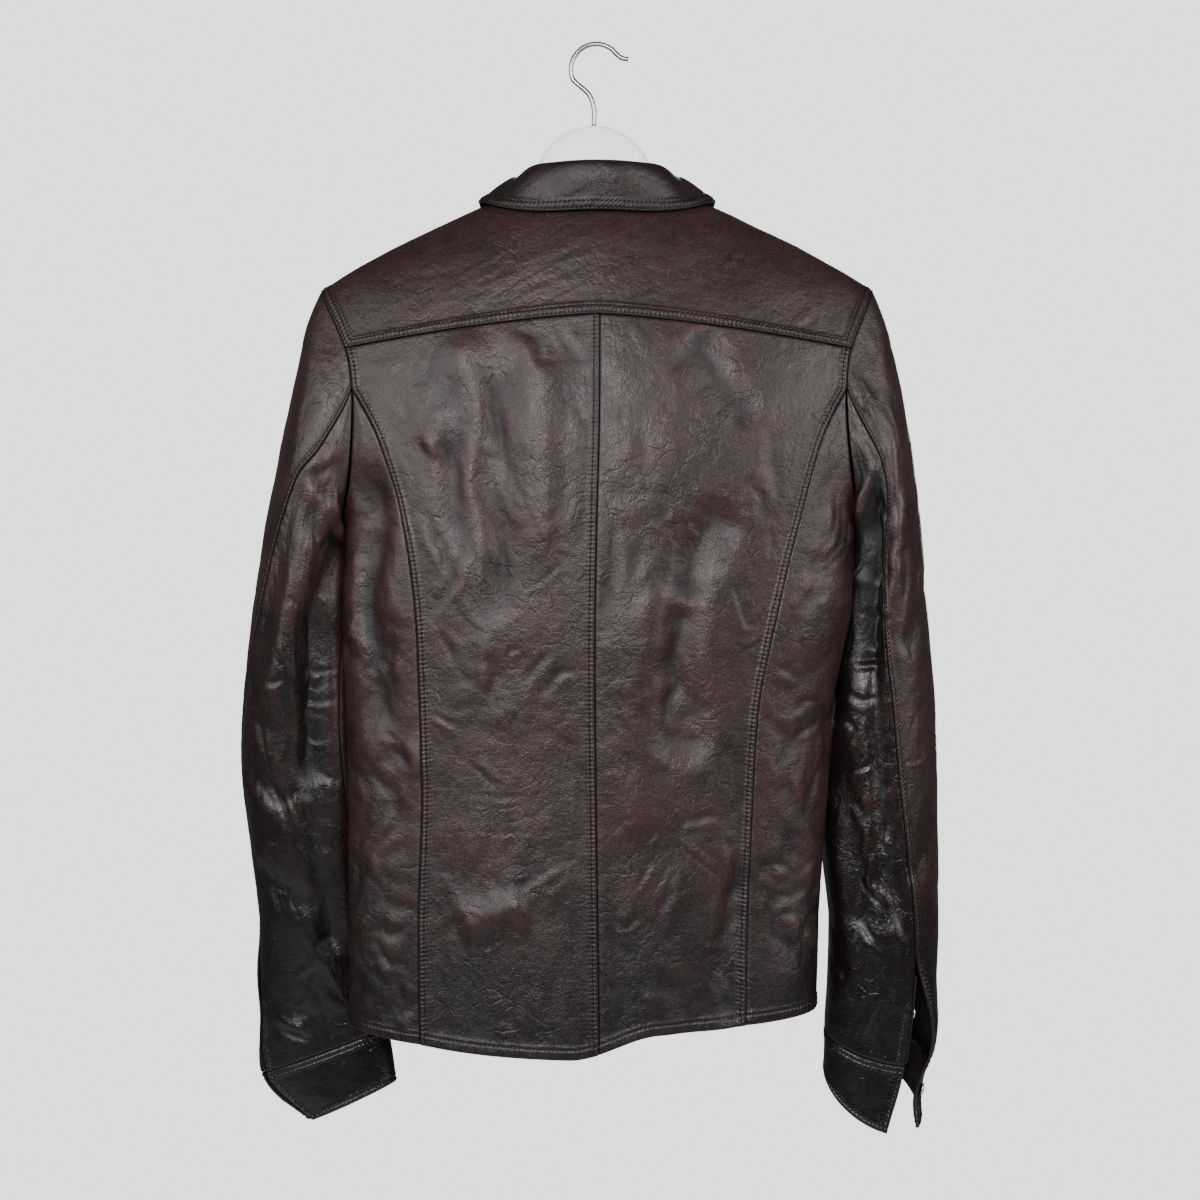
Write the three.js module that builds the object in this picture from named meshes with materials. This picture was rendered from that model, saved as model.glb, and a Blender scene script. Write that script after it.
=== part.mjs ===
// A worn leather shirt jacket hanging on a hanger, in millimetres.
// +Z is up, +X is the wearer's right and +Y the wearer's front; the origin is where the hook bears.
// Every piece of cloth is a thin closed wall over one shared surface, so neighbours meet at their seams.
import * as THREE from "three";

const { clamp, degToRad, lerp, smoothstep } = THREE.MathUtils;
const vec = (x, y, z) => new THREE.Vector3(x, y, z);

// Cloth and seams
const LEATHER = 1.5;
const CUFF_LEATHER = 2.2;
const SEAM_GAP = 0.3;
const SURFACE_GAP = 0.3;
const ARMHOLE_GAP = 0.4;

// Shoulders: the ridge falls from the neck to the shoulder point
const RIDGE_TOP = -80;
const RIDGE_SLOPE = 0.492;
const RIDGE_ROUND = 40;
const RIDGE_DROP = 7.2;
const SHOULDER_HALF = 223.2;
const CROWN = 230;
const SQUARENESS = 2.4;

// Heights of the seams' ends
const YOKE_CENTRE_Z = -223;
const YOKE_CORNER_Z = -247;
const YOKE_FRONT_Z = -226;
const JUNCTION_Z = -280;
const PIT_Z = -382;
const HEM_Z = -810;
const HEM_CURVE = 0.00055;
const HEM_LIFT = 18;
const FRONT_HEM_DIP = 16;

// Neck and collar
const NECK_HALF = 84;
const NECK_BACK = 0.553;
const NECK_FRONT = 0.961;
const YOKE_END = degToRad(113);
const COLLAR_END = degToRad(166);
const STAND_BACK = 34;
const STAND_SIDE = 20;
const FALL_HALF = 94;
const FALL_BACK = 0.606;
const FALL_POINT_X = 62;
const FALL_POINT = 1.15;
const FALL_LIFT = 5;

// Front closing
const LAP = 15;
const LAP_STEP = 4.4;
const SNAP_RADIUS = 5.2;
const SNAP_HEIGHT = 2.4;
const FRONT_SNAPS = 6;
const FIRST_SNAP_Z = -232;
const LAST_SNAP_Z = -730;

// Hanger
const HANGER_X = -2.5;
const DOME_RADIUS = 48;
const DOME_TOP = -64.5;
const HANGER_HALF = 200;
const HANGER_THICK = 6.5;
const WIRE = 2;
const HOOK_RADIUS = 20.5;

// Torso sections: height, half width, centre in x, depth of the back, depth of the front
const TORSO = [
  [-810, 188, -11, 54, 44],
  [-700, 190, -10.7, 52, 44],
  [-609, 193.9, -7.6, 52, 45],
  [-528, 197.7, -5.8, 55, 47],
  [-453, 205.5, 0, 59, 49],
  [-383, 208, 3, 61, 50],
  [-290, 236, 2, 61, 50],
  [-200, 250, 0, 60, 48],
];

// Distances from the middle of the torso: armhole seam, princess seam, and x of the centre-back seam
const ARMHOLE = [[-382, 208], [-352, 201.5], [-325, 198], [-300, 196.5], [-275, 197], [-247, 201.5], [-198.7, 223.2]];
const PRINCESS = [
  [-810, 128.5], [-700, 130], [-600, 130.5], [-535, 133.5], [-490, 138.3], [-450, 144],
  [-414, 150.5], [-386, 157], [-355, 165], [-325, 174], [-302, 184], [-280, 196.7],
];
const CENTRE_BACK = [[-810, 1.5], [-640, -0.7], [-500, -2.1], [-395, -0.7], [-311, 1.5], [-224, 2]];

// Sleeve sections down each arm: outer x and z, inner x and z, half depth, centre in y,
// back seam and front seam in degrees from the outer side, half opening of the vent in degrees, droop of the back
const SLEEVE_RIGHT = [
  [223.2, -198.7, 209, -382, 34, 0, 84, 221, 0, 0],
  [236, -232, 214, -391, 39, 2, 89, 216, 0, 0],
  [247, -277, 213.5, -400, 44, 5, 90, 212, 0, 0],
  [255.5, -328, 211, -413, 47, 9, 97, 212, 0, 0],
  [263, -388, 206.5, -439, 47, 13, 105, 214, 0, 0],
  [269, -452, 200.5, -481, 46, 16, 100, 212, 0, 0],
  [275.5, -525, 193, -541, 44, 19, 87, 206, 0, 0],
  [279, -600, 189.5, -608, 42, 21, 78, 200, 0, 0],
  [280.5, -680, 190, -683, 40, 22, 66, 194, 0, 0],
  [280, -735, 189.5, -741, 36, 23, 59, 188, 1, 4],
  [274, -820, 186.5, -800, 31, 24, 46, 180, 19, 12],
  [266, -868, 186, -836, 28, 24, 54, 180, 24, 25],
];
const SLEEVE_LEFT = [
  [223.2, -198.7, 209, -382, 34, 0, 84, 221, 0, 0],
  [236, -228, 213, -391, 39, 2, 90, 214, 0, 0],
  [246, -273, 211, -400, 44, 5, 87, 204, 0, 0],
  [257, -325, 208.5, -412, 47, 9, 72, 190, 0, 0],
  [270, -388, 206.5, -437, 47, 13, 56, 173, 0, 0],
  [280.5, -455, 205.5, -479, 46, 16, 41, 156, 0, 0],
  [288, -525, 202.5, -539, 44, 19, 18, 147, 0, 0],
  [290.5, -590, 200, -595, 41, 23, 5, 148, 0, 0],
  [284, -655, 197, -656, 37, 28, 0, 154, 0, 0],
  [278, -715, 192, -713, 32, 33, 2, 158, 0, 0],
  [279.5, -780, 186, -761, 24, 38, 8, 160, 10, 0],
  [278.5, -840, 173, -801, 17, 39, 10, 160, 16, 0],
  [240, -880, 166, -846, 14, 39, 12, 160, 18, 0],
];

// The largest folds of the back: x and z of both ends, half width, height
const BACK_FOLDS = [
  [-96, -238, -124, -330, 15, 4],
  [-112, -262, -114, -410, 12, -4],
  [-80, -262, -76, -450, 15, -5],
  [-50, -250, -44, -420, 16, 3],
  [73, -246, 122, -306, 15, -5],
  [98, -372, 66, -446, 18, -7],
  [66, -446, 68, -575, 18, -7],
  [30, -430, 26, -640, 20, 4],
  [-178, -345, -175, -550, 13, -7],
  [112, -660, 106, -790, 14, -6],
  [-110, -700, -55, -690, 16, 5],
  [70, -745, 78, -815, 16, -7],
];

// The largest folds of the sleeves: angle and place down the sleeve of both ends, half width in mm, height
const RIGHT_FOLDS = [
  [132, 1.8, 122, 5.5, 13, -14],
  [114, 5.2, 84, 8.4, 10, -6],
  [150, 6.4, 112, 8.6, 14, -5],
  [20, 4.6, 70, 5.4, 12, -3],
  [30, 7.2, 64, 7.9, 12, -3],
];
const LEFT_FOLDS = [
  [156, 2.4, 124, 4.6, 11, -7],
  [122, 4.6, 112, 7.2, 15, -12],
  [112, 7.2, 116, 9.4, 14, -8],
  [110, 3.4, 64, 6.2, 13, 6],
  [30, 6.9, 90, 7.3, 12, -4],
  [20, 8.2, 100, 8.7, 14, -4],
];

// A smooth curve through pairs of position and value.
function through(pairs) {
  const last = pairs.length - 1;
  const slopes = pairs.map((_, i) => {
    const a = pairs[Math.max(i - 1, 0)];
    const b = pairs[Math.min(i + 1, last)];
    return (b[1] - a[1]) / (b[0] - a[0]);
  });
  return (at) => {
    let i = 0;
    while (i < last - 1 && at > pairs[i + 1][0]) i += 1;
    const width = pairs[i + 1][0] - pairs[i][0];
    const t = clamp((at - pairs[i][0]) / width, 0, 1);
    const rise = t * t * (3 - 2 * t);
    const bend = slopes[i] * t * (1 - t) * (1 - t) - slopes[i + 1] * t * t * (1 - t);
    return lerp(pairs[i][1], pairs[i + 1][1], rise) + bend * width;
  };
}

const column = (rows, key) => through(rows.map((row) => [row[0], row[key]]));
const halfWidth = column(TORSO, 1);
const centreX = column(TORSO, 2);
const backDepth = column(TORSO, 3);
const frontDepth = column(TORSO, 4);
const armholeX = through(ARMHOLE);
const princessX = through(PRINCESS);
const centreBackX = through(CENTRE_BACK);

// Height of a fold at a point: a soft ridge along a segment, fading at both ends.
function foldHeight(folds, u, v, scaleU, scaleV) {
  let height = 0;
  for (const [u0, v0, u1, v1, width, size] of folds) {
    const along = vec((u1 - u0) * scaleU, (v1 - v0) * scaleV, 0);
    const away = vec((u - u0) * scaleU, (v - v0) * scaleV, 0);
    const t = away.dot(along) / along.lengthSq();
    const side = away.addScaledVector(along, -clamp(t, 0, 1)).length() / width;
    const ends = smoothstep(t, -0.1, 0.15) * (1 - smoothstep(t, 0.85, 1.1));
    height += size * ends * Math.exp(-side * side);
  }
  return height;
}

function ridgeZ(x) {
  const end = Math.pow(Math.abs(x) / SHOULDER_HALF, 8);
  return RIDGE_TOP - RIDGE_SLOPE * Math.hypot(x, RIDGE_ROUND) - RIDGE_DROP * end;
}

// Share of the full depth that the cloth has reached below the shoulder ridge.
function crown(x, z) {
  const left = 1 - clamp((ridgeZ(x) - z) / CROWN, 0, 1);
  return Math.sqrt(1 - left * left);
}

const roundness = (s) => Math.pow(Math.max(0, 1 - Math.pow(Math.abs(s), SQUARENESS)), 1 / SQUARENESS);

// A point of the torso: side -1 is the back and 1 the front, turn runs from -90 to 90 degrees across it.
function torsoPoint(side, turn, z) {
  const s = Math.sin(turn);
  const x = centreX(z) + halfWidth(z) * s;
  const depth = side < 0 ? backDepth(z) : frontDepth(z);
  return vec(x, side * depth * crown(x, z) * roundness(s), z);
}

const turnAt = (x, z) => Math.asin(clamp((x - centreX(z)) / halfWidth(z), -1, 1));

// Point and outward normal of the torso, with the folds of the back raised along the normal.
function torso(side, turn, z) {
  const e = 1e-3;
  const low = Math.max(turn - e, -Math.PI / 2);
  const high = Math.min(turn + e, Math.PI / 2);
  const across = torsoPoint(side, high, z).sub(torsoPoint(side, low, z));
  const down = torsoPoint(side, turn, z - 0.5).sub(torsoPoint(side, turn, z + 0.5));
  const n = down.cross(across).multiplyScalar(-side).normalize();
  const p = torsoPoint(side, turn, z);
  const edge = smoothstep(Math.abs(Math.sin(turn)), 0.9, 1);
  const height = side < 0 ? foldHeight(BACK_FOLDS, p.x, p.z, 1, 1) * (1 - edge) : 0;
  return { p: p.addScaledVector(n, height), n };
}

// A point over the shoulders: tilt is the angle down from the ridge, negative to the back.
function shoulderPoint(x, tilt) {
  const z = ridgeZ(x) - CROWN * (1 - Math.cos(tilt));
  const depth = tilt < 0 ? backDepth(z) : frontDepth(z);
  return vec(x, depth * Math.sin(tilt) * roundness((x - centreX(z)) / halfWidth(z)), z);
}

function shoulder(x, tilt) {
  const e = 1e-3;
  const along = shoulderPoint(x + 0.5, tilt).sub(shoulderPoint(x - 0.5, tilt));
  const over = shoulderPoint(x, tilt + e).sub(shoulderPoint(x, tilt - e));
  return { p: shoulderPoint(x, tilt), n: along.cross(over).normalize() };
}

const tiltAt = (side, x, z) => side * Math.acos(clamp(1 - (ridgeZ(x) - z) / CROWN, -1, 1));
const yokeSeamZ = (x) => lerp(YOKE_CENTRE_Z, YOKE_CORNER_Z, Math.pow(Math.abs(x) / 201.5, 1.35));
const hemZ = (x) => HEM_Z + HEM_CURVE * x * x + HEM_LIFT * smoothstep(x, -20, 45);

// A closed wall from a grid of points and normals, rows downwards and columns rightwards seen from outside.
function wall(grid, thickness) {
  const rows = grid.length;
  const cols = grid[0].length;
  const positions = [];
  for (const depth of [0, thickness]) {
    for (const row of grid) {
      for (const { p, n } of row) positions.push(...p.clone().addScaledVector(n, -depth).toArray());
    }
  }
  const at = (r, c) => r * cols + c;
  const behind = rows * cols;
  const faces = [];
  const quad = (a, b, c, d) => faces.push(a, b, c, a, c, d);
  for (let r = 0; r < rows - 1; r += 1) {
    for (let c = 0; c < cols - 1; c += 1) {
      const [a, b, d, e] = [at(r, c), at(r, c + 1), at(r + 1, c), at(r + 1, c + 1)];
      quad(a, d, e, b);
      quad(behind + a, behind + b, behind + e, behind + d);
    }
    const [l0, l1, r0, r1] = [at(r, 0), at(r + 1, 0), at(r, cols - 1), at(r + 1, cols - 1)];
    quad(l1, l0, behind + l0, behind + l1);
    quad(r0, r1, behind + r1, behind + r0);
  }
  for (let c = 0; c < cols - 1; c += 1) {
    const [t0, t1, b0, b1] = [at(0, c), at(0, c + 1), at(rows - 1, c), at(rows - 1, c + 1)];
    quad(t0, t1, behind + t1, behind + t0);
    quad(b1, b0, behind + b0, behind + b1);
  }
  const geometry = new THREE.BufferGeometry();
  geometry.setAttribute("position", new THREE.Float32BufferAttribute(positions, 3));
  geometry.setIndex(faces);
  geometry.computeVertexNormals();
  return geometry;
}

// Draws the edges of a grid back by half a seam gap: top, bottom, left, right.
function drawBack(grid, top, bottom, left, right) {
  const last = grid.length - 1;
  const end = grid[0].length - 1;
  const pull = (cell, next) => cell.p.addScaledVector(next.p.clone().sub(cell.p).normalize(), SEAM_GAP / 2);
  for (let c = 0; c <= end; c += 1) {
    if (top) pull(grid[0][c], grid[1][c]);
    if (bottom) pull(grid[last][c], grid[last - 1][c]);
  }
  for (let r = 0; r <= last; r += 1) {
    if (left) pull(grid[r][0], grid[r][1]);
    if (right) pull(grid[r][end], grid[r][end - 1]);
  }
  return grid;
}

const steps = (count) => Array.from({ length: count + 1 }, (_, i) => i / count);
const spread = (from, to, count) => steps(count).map((t) => lerp(from, to, t));

// Heights shared along the armhole and the side seam, so that neighbours have the same points.
const YOKE_ARM = [-198.7, -205, -224, YOKE_CORNER_Z];
const YOKE_ARM_FRONT = [-198.7, -208, YOKE_FRONT_Z];
const BACK_ARM = [YOKE_CORNER_Z, -263, JUNCTION_Z];
const SIDE_ARM = [JUNCTION_Z, -306, -333, -360, PIT_Z];
const FRONT_ARM = [YOKE_FRONT_Z, -252, JUNCTION_Z, -306, -333, -360, PIT_Z];
const PANEL_ROWS = 14;
const SIDE_ROWS = PANEL_ROWS - SIDE_ARM.length + 1;
const BACK_COLUMNS = 9;

const sideEdge = (hand) => hand * Math.PI / 2;
const sideHem = (hand) => hemZ(centreX(HEM_Z) + hand * halfWidth(HEM_Z));
const armTurn = (hand, z) => hand * Math.asin(clamp(armholeX(z) / halfWidth(z), -1, 1));
const princessTurn = (hand, z) => hand * Math.asin(princessX(z) / halfWidth(z));
const princessHem = (hand) => hemZ(centreX(HEM_Z) + hand * princessX(HEM_Z));

// The yoke: lines fan out from the neck seam to the armholes and the back yoke seam.
function neckPlace(around) {
  const size = Math.cos(around) > 0 ? NECK_BACK : NECK_FRONT;
  return [NECK_HALF * Math.sin(around), -size * Math.cos(around)];
}

function armPlace(hand, side, z) {
  const x = centreX(z) + hand * armholeX(z);
  return [x, tiltAt(side, x, z)];
}

function yokeOutline() {
  const arm = (hand) => [
    ...YOKE_ARM_FRONT.toReversed().map((z) => armPlace(hand, 1, z)),
    ...YOKE_ARM.slice(1).map((z) => armPlace(hand, -1, z)),
  ];
  const left = arm(-1);
  const right = arm(1).toReversed();
  const seam = backTops().map((x) => [x, tiltAt(-1, x, yokeSeamZ(x))]);
  return [...left, ...seam.slice(1, -1), ...right];
}

// The x of every column where the back panels meet the yoke, from left to right.
function backTops() {
  const corner = (hand) => armPlace(hand, -1, YOKE_CORNER_Z)[0];
  const middle = centreBackX(YOKE_CENTRE_Z);
  return [...spread(corner(-1), middle, BACK_COLUMNS), ...spread(middle, corner(1), BACK_COLUMNS).slice(1)];
}

function yoke() {
  const outline = yokeOutline();
  const around = spread(-YOKE_END, YOKE_END, outline.length - 1);
  const rows = steps(6).map((out) => outline.map(([x, tilt], i) => {
    const [nx, ntilt] = neckPlace(around[i]);
    const at = shoulder(lerp(nx, x, out), lerp(ntilt, tilt, out));
    const back = at.p.y < 0 ? foldHeight(BACK_FOLDS, at.p.x, at.p.z, 1, 1) * out : 0;
    at.p.addScaledVector(at.n, back);
    return at;
  }));
  return wall(drawBack(rows, false, true, true, true), LEATHER);
}

// One centre-back panel, from the yoke seam to the hem and from the centre seam to the princess seam.
function centreBack(hand) {
  const tops = hand < 0 ? backTops().slice(0, BACK_COLUMNS + 1).toReversed() : backTops().slice(BACK_COLUMNS);
  const sideZ = [...BACK_ARM, ...spread(JUNCTION_Z, princessHem(hand), PANEL_ROWS).slice(1)];
  const rows = sideZ.map((edgeZ, j) => tops.map((x, i) => {
    const c = i / BACK_COLUMNS;
    const t = j / (sideZ.length - 1);
    const edgeT = (edgeZ - sideZ[0]) / (sideZ.at(-1) - sideZ[0]);
    const bottomX = lerp(centreBackX(HEM_Z), centreX(HEM_Z) + hand * princessX(HEM_Z), c);
    const z = lerp(yokeSeamZ(x), hemZ(bottomX), lerp(t, edgeT, c));
    const from = turnAt(centreBackX(z), z);
    const to = z > JUNCTION_Z ? armTurn(hand, z) : princessTurn(hand, z);
    const even = lerp(from, to, c);
    return torso(-1, c === 1 ? to : lerp(turnAt(x, z), even, smoothstep(t, 0, 0.3)), z);
  }));
  const seen = hand < 0 ? rows.map((row) => row.toReversed()) : rows;
  return wall(drawBack(seen, true, false, true, true), LEATHER);
}

// One side-back panel, a point at the armhole widening to the hem between princess seam and side seam.
function sideBack(hand) {
  const innerZ = spread(JUNCTION_Z, princessHem(hand), PANEL_ROWS);
  const outerZ = [...SIDE_ARM, ...spread(PIT_Z, sideHem(hand), SIDE_ROWS).slice(1)];
  innerZ[0] -= 2;
  outerZ[0] -= 1.4;
  const rows = innerZ.map((inner, j) => steps(6).map((c) => {
    const z = lerp(inner, outerZ[j], c);
    const to = z > PIT_Z ? armTurn(hand, z) : sideEdge(hand);
    return torso(-1, lerp(princessTurn(hand, z), to, c), z);
  }));
  const seen = hand < 0 ? rows.map((row) => row.toReversed()) : rows;
  return wall(drawBack(seen, false, false, true, true), LEATHER);
}

const frontHemZ = (x) => {
  const share = clamp((x - centreX(HEM_Z)) / halfWidth(HEM_Z), -1, 1);
  return lerp(sideHem(-1), sideHem(1), (share + 1) / 2) - FRONT_HEM_DIP * (1 - share * share);
};

// The front surface of one side; the right front steps inwards under the left one.
function frontAt(hand, x, z) {
  const at = torso(1, turnAt(x, z), z);
  const step = hand > 0 ? LAP_STEP * (1 - smoothstep(x, 26, 62)) : 0;
  at.p.addScaledVector(at.n, -step);
  return at;
}

// One front, from the neck and the front yoke seam to the hem and from the side seam past the middle.
function front(hand) {
  const lap = -hand * LAP;
  const neckEnd = Math.PI + Math.asin(LAP / NECK_HALF);
  const neck = spread(neckEnd, YOKE_END, 6).map((a) => neckPlace(hand * a));
  const [nx, ntilt] = neckPlace(hand * YOKE_END);
  const [ax, atilt] = armPlace(hand, 1, YOKE_FRONT_Z);
  const seam = steps(6).slice(1).map((t) => [lerp(nx, ax, t), lerp(ntilt, atilt, t)]);
  const tops = [...neck, ...seam].map(([x, tilt]) => shoulderPoint(x, tilt));
  const sideZ = [...FRONT_ARM, ...spread(PIT_Z, sideHem(hand), SIDE_ROWS).slice(1)];
  const rows = sideZ.map((edgeZ, j) => tops.map((top, i) => {
    const c = i / (tops.length - 1);
    const t = j / (sideZ.length - 1);
    const edgeT = (edgeZ - sideZ[0]) / (sideZ.at(-1) - sideZ[0]);
    const bottomX = lerp(lap, centreX(HEM_Z) + hand * halfWidth(HEM_Z), c);
    const z = lerp(top.z, frontHemZ(bottomX), lerp(t, edgeT, c));
    const edge = z > PIT_Z ? armTurn(hand, z) : sideEdge(hand);
    const even = lerp(turnAt(lap, z), edge, c);
    const turn = lerp(turnAt(top.x, z), even, smoothstep(t, 0, 0.3));
    if (c === 1) return torso(1, edge, z);
    const x = centreX(z) + halfWidth(z) * Math.sin(turn);
    return frontAt(hand, x, z);
  }));
  const seen = hand > 0 ? rows.map((row) => row.toReversed()) : rows;
  return wall(drawBack(seen, true, false, hand > 0, hand < 0), LEATHER);
}

// A strip lying on the left front, along its edge.
function frontPlacket() {
  const top = shoulderPoint(...neckPlace(Math.PI)).z - 6;
  const rows = spread(top, frontHemZ(0) + 3, 16).map((z) => spread(LAP - 1, -LAP, 3).map((x) => {
    const at = frontAt(-1, x, z);
    at.p.addScaledVector(at.n, LEATHER + SURFACE_GAP);
    return at;
  }));
  return wall(rows, LEATHER);
}

// The collar: neck seam, roll line and lower edge of the fall at an angle around from the centre back.
function collarLines(around) {
  const size = Math.abs(around);
  const [nx, ntilt] = neckPlace(around);
  const neck = shoulder(nx, ntilt);
  const rise = lerp(STAND_BACK, STAND_SIDE, smoothstep(size, 0.5, 1.4));
  const lean = lerp(-9, 17, smoothstep(size, 0.1, 1.3)) * (1 - smoothstep(size, 1.9, 2.9));
  const inward = vec(-Math.sin(around), Math.cos(around), 0);
  const roll = neck.p.clone().addScaledVector(inward, lean).add(vec(0, 0, rise));
  const past = clamp((size - Math.PI / 2) / (COLLAR_END - Math.PI / 2), 0, 1);
  const side = Math.sign(around) * lerp(FALL_HALF, FALL_POINT_X, Math.pow(past, 1.6));
  const x = past > 0 ? side : FALL_HALF * Math.sin(around);
  const tilt = past > 0 ? FALL_POINT * Math.sin(past * Math.PI / 2) : -FALL_BACK * Math.cos(around);
  const edge = shoulder(x, tilt);
  return { neck, roll, edge: edge.p.clone().addScaledVector(edge.n, FALL_LIFT), out: edge.n };
}

function fallPoint(around, v) {
  const { roll, edge, out } = collarLines(around);
  const size = Math.abs(around);
  const flat = smoothstep(size, 0.6, 1.1) * (1 - smoothstep(size, 1.55, 1.9));
  const bulge = lerp(5, 1.5, flat) * Math.sin(Math.PI * Math.pow(v, 0.6));
  return roll.lerp(edge, v).addScaledVector(out, bulge);
}

function standPoint(around, v) {
  const { neck, roll } = collarLines(around);
  const foot = neck.p.clone().add(vec(0, 0, 3 * SURFACE_GAP));
  return foot.lerp(roll.add(vec(0, 0, -LEATHER - 2)), v);
}

// Point and normal on a surface of two parameters that run rightwards and downwards.
function surfaceAt(point, u, v, du, dv) {
  const across = point(u + du, v).sub(point(u - du, v));
  const down = point(u, v + dv).sub(point(u, v - dv));
  return { p: point(u, v), n: down.cross(across).normalize() };
}

function collarFall() {
  const ways = spread(-COLLAR_END, COLLAR_END, 28);
  const rows = [0.02, 0.12, 0.35, 0.68, 1].map((v) => ways.map((a) => surfaceAt(fallPoint, a, v, 0.02, 0.01)));
  return wall(rows, LEATHER);
}

function collarStand() {
  const ways = spread(-COLLAR_END, COLLAR_END, 24);
  const rows = [1, 0.5, 0].map((v) => ways.map((a) => {
    const at = surfaceAt(standPoint, a, v, 0.02, -0.05);
    return at;
  }));
  return wall(rows, LEATHER);
}

// The armhole as a closed seam: zero at the shoulder, a quarter turn at the back, half a turn under the arm.
const ARM_TOP = YOKE_ARM[0];
function armholeAt(hand, around) {
  const z = lerp(PIT_Z, ARM_TOP, (Math.cos(around) + 1) / 2);
  const side = Math.sin(around) > 0 ? -1 : 1;
  return torsoPoint(side, armTurn(hand, z), z).add(vec(hand * ARMHOLE_GAP, 0, 0));
}

const aroundAt = (z) => Math.acos(clamp(2 * (z - PIT_Z) / (ARM_TOP - PIT_Z) - 1, -1, 1));
const BACK_SEAM = aroundAt(JUNCTION_Z);
const FRONT_SEAM = 2 * Math.PI - aroundAt(-360);

// One sleeve as rings from the armhole to the cuff.
class Sleeve {
  constructor(hand, sections, folds) {
    this.hand = hand;
    this.folds = folds;
    this.cuff = sections.length - 2;
    const lane = (key) => through(sections.map((row, i) => [i, row[key]]));
    [this.outX, this.outZ, this.inX, this.inZ, this.depth, this.middle] = [0, 1, 2, 3, 4, 5].map(lane);
    [this.backSeam, this.frontSeam, this.vent, this.droop] = [6, 7, 8, 9].map(lane);
  }

  // Angle on the ring of a seam place around the armhole; open parts the two edges of the back seam.
  angle(around, s, open) {
    const back = degToRad(this.backSeam(s));
    const fore = degToRad(this.frontSeam(s));
    const part = degToRad(Math.max(0, this.vent(s))) * open;
    const full = 2 * Math.PI;
    if (around >= BACK_SEAM && around <= FRONT_SEAM) {
      return lerp(back + part, fore, (around - BACK_SEAM) / (FRONT_SEAM - BACK_SEAM));
    }
    const past = around > FRONT_SEAM ? around : around + full;
    return lerp(fore, back - part + full, (past - FRONT_SEAM) / (full - FRONT_SEAM + BACK_SEAM));
  }

  ring(angle, s) {
    const outer = vec(this.outX(s), 0, this.outZ(s));
    const inner = vec(this.inX(s), 0, this.inZ(s));
    const centre = outer.clone().lerp(inner, 0.5);
    const reach = outer.sub(inner).multiplyScalar(0.5 * Math.cos(angle));
    const deep = Math.sin(angle);
    const p = centre.add(reach).add(vec(0, this.middle(s) - this.depth(s) * deep, -this.droop(s) * deep));
    p.x *= this.hand;
    return p;
  }

  base(around, s, open) {
    const p = this.ring(this.angle(around, s, open), s);
    const fade = 1 - smoothstep(s, 0, 3);
    const seam = armholeAt(this.hand, around).sub(this.ring(this.angle(around, 0, 0), 0));
    return p.addScaledVector(seam, fade);
  }

  at(around, s, open) {
    const e = 0.01;
    const h = 0.02;
    const across = this.base(around + e, s, open).sub(this.base(around - e, s, open));
    const down = this.base(around, s + h, open).sub(this.base(around, Math.max(s - h, 0), open));
    const n = down.cross(across).multiplyScalar(-this.hand).normalize();
    const angle = THREE.MathUtils.radToDeg(this.angle(around, s, open)) % 360;
    const height = foldHeight(this.folds, angle, s, 0.75, 62) * smoothstep(s, 0.4, 1.4);
    return { p: this.base(around, s, open).addScaledVector(n, height), n };
  }

  panel(ways, to, thickness) {
    const rows = spread(0, this.cuff, to).map((s) => ways.map((around) => {
      const open = s > this.cuff - 1.6 ? 1 : 0;
      return this.at(around, s, open);
    }));
    const seen = this.hand > 0 ? rows.map((row) => row.toReversed()) : rows;
    return wall(drawBack(seen, false, true, true, true), thickness);
  }
}

const right = new Sleeve(1, SLEEVE_RIGHT, RIGHT_FOLDS);
const left = new Sleeve(-1, SLEEVE_LEFT, LEFT_FOLDS);
const nudge = 1e-6;

// Places around the armhole where the panels' points lie, from the back seam under the arm to the front seam and on.
const halved = (ways) => ways.flatMap((a, i) => (i ? [(ways[i - 1] + a) / 2, a] : [a]));
const underWays = halved([...SIDE_ARM.map(aroundAt), FRONT_SEAM]);
underWays[0] += nudge;
underWays[underWays.length - 1] -= nudge;
const upperWays = [
  FRONT_SEAM + nudge,
  ...FRONT_ARM.slice(0, -2).toReversed().map((z) => 2 * Math.PI - aroundAt(z)),
  ...YOKE_ARM_FRONT.slice(1, -1).toReversed().map((z) => 2 * Math.PI - aroundAt(z)),
  ...YOKE_ARM.map((z) => 2 * Math.PI + aroundAt(z)),
  ...BACK_ARM.slice(1).map((z) => 2 * Math.PI + aroundAt(z)),
];
upperWays[upperWays.length - 1] -= nudge;
const wrap = (a) => (a >= 2 * Math.PI ? a - 2 * Math.PI : a);

// A cuff: a band below the sleeve, open at the vent.
const CUFF_START = BACK_SEAM + nudge;
const CUFF_END = BACK_SEAM + 2 * Math.PI - nudge;
function cuffAt(sleeve, around, t) {
  const point = (a, s) => sleeve.ring(sleeve.angle(wrap(a), s, 1), s);
  const s = sleeve.cuff + t + SEAM_GAP / 40;
  const step = 0.01;
  const a = clamp(around, CUFF_START + step, CUFF_END - step);
  const across = point(a + step, s).sub(point(a - step, s));
  const down = point(around, s + step).sub(point(around, s - step));
  const n = down.cross(across).multiplyScalar(-sleeve.hand).normalize();
  return { p: point(around, s).addScaledVector(n, 0.4), n };
}

function cuff(sleeve) {
  const ways = spread(CUFF_START, CUFF_END, 20);
  const rows = [0, 0.35, 0.7, 1].map((t) => ways.map((around) => cuffAt(sleeve, around, t)));
  const seen = sleeve.hand > 0 ? rows.map((row) => row.toReversed()) : rows;
  return wall(seen, CUFF_LEATHER);
}

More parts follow.
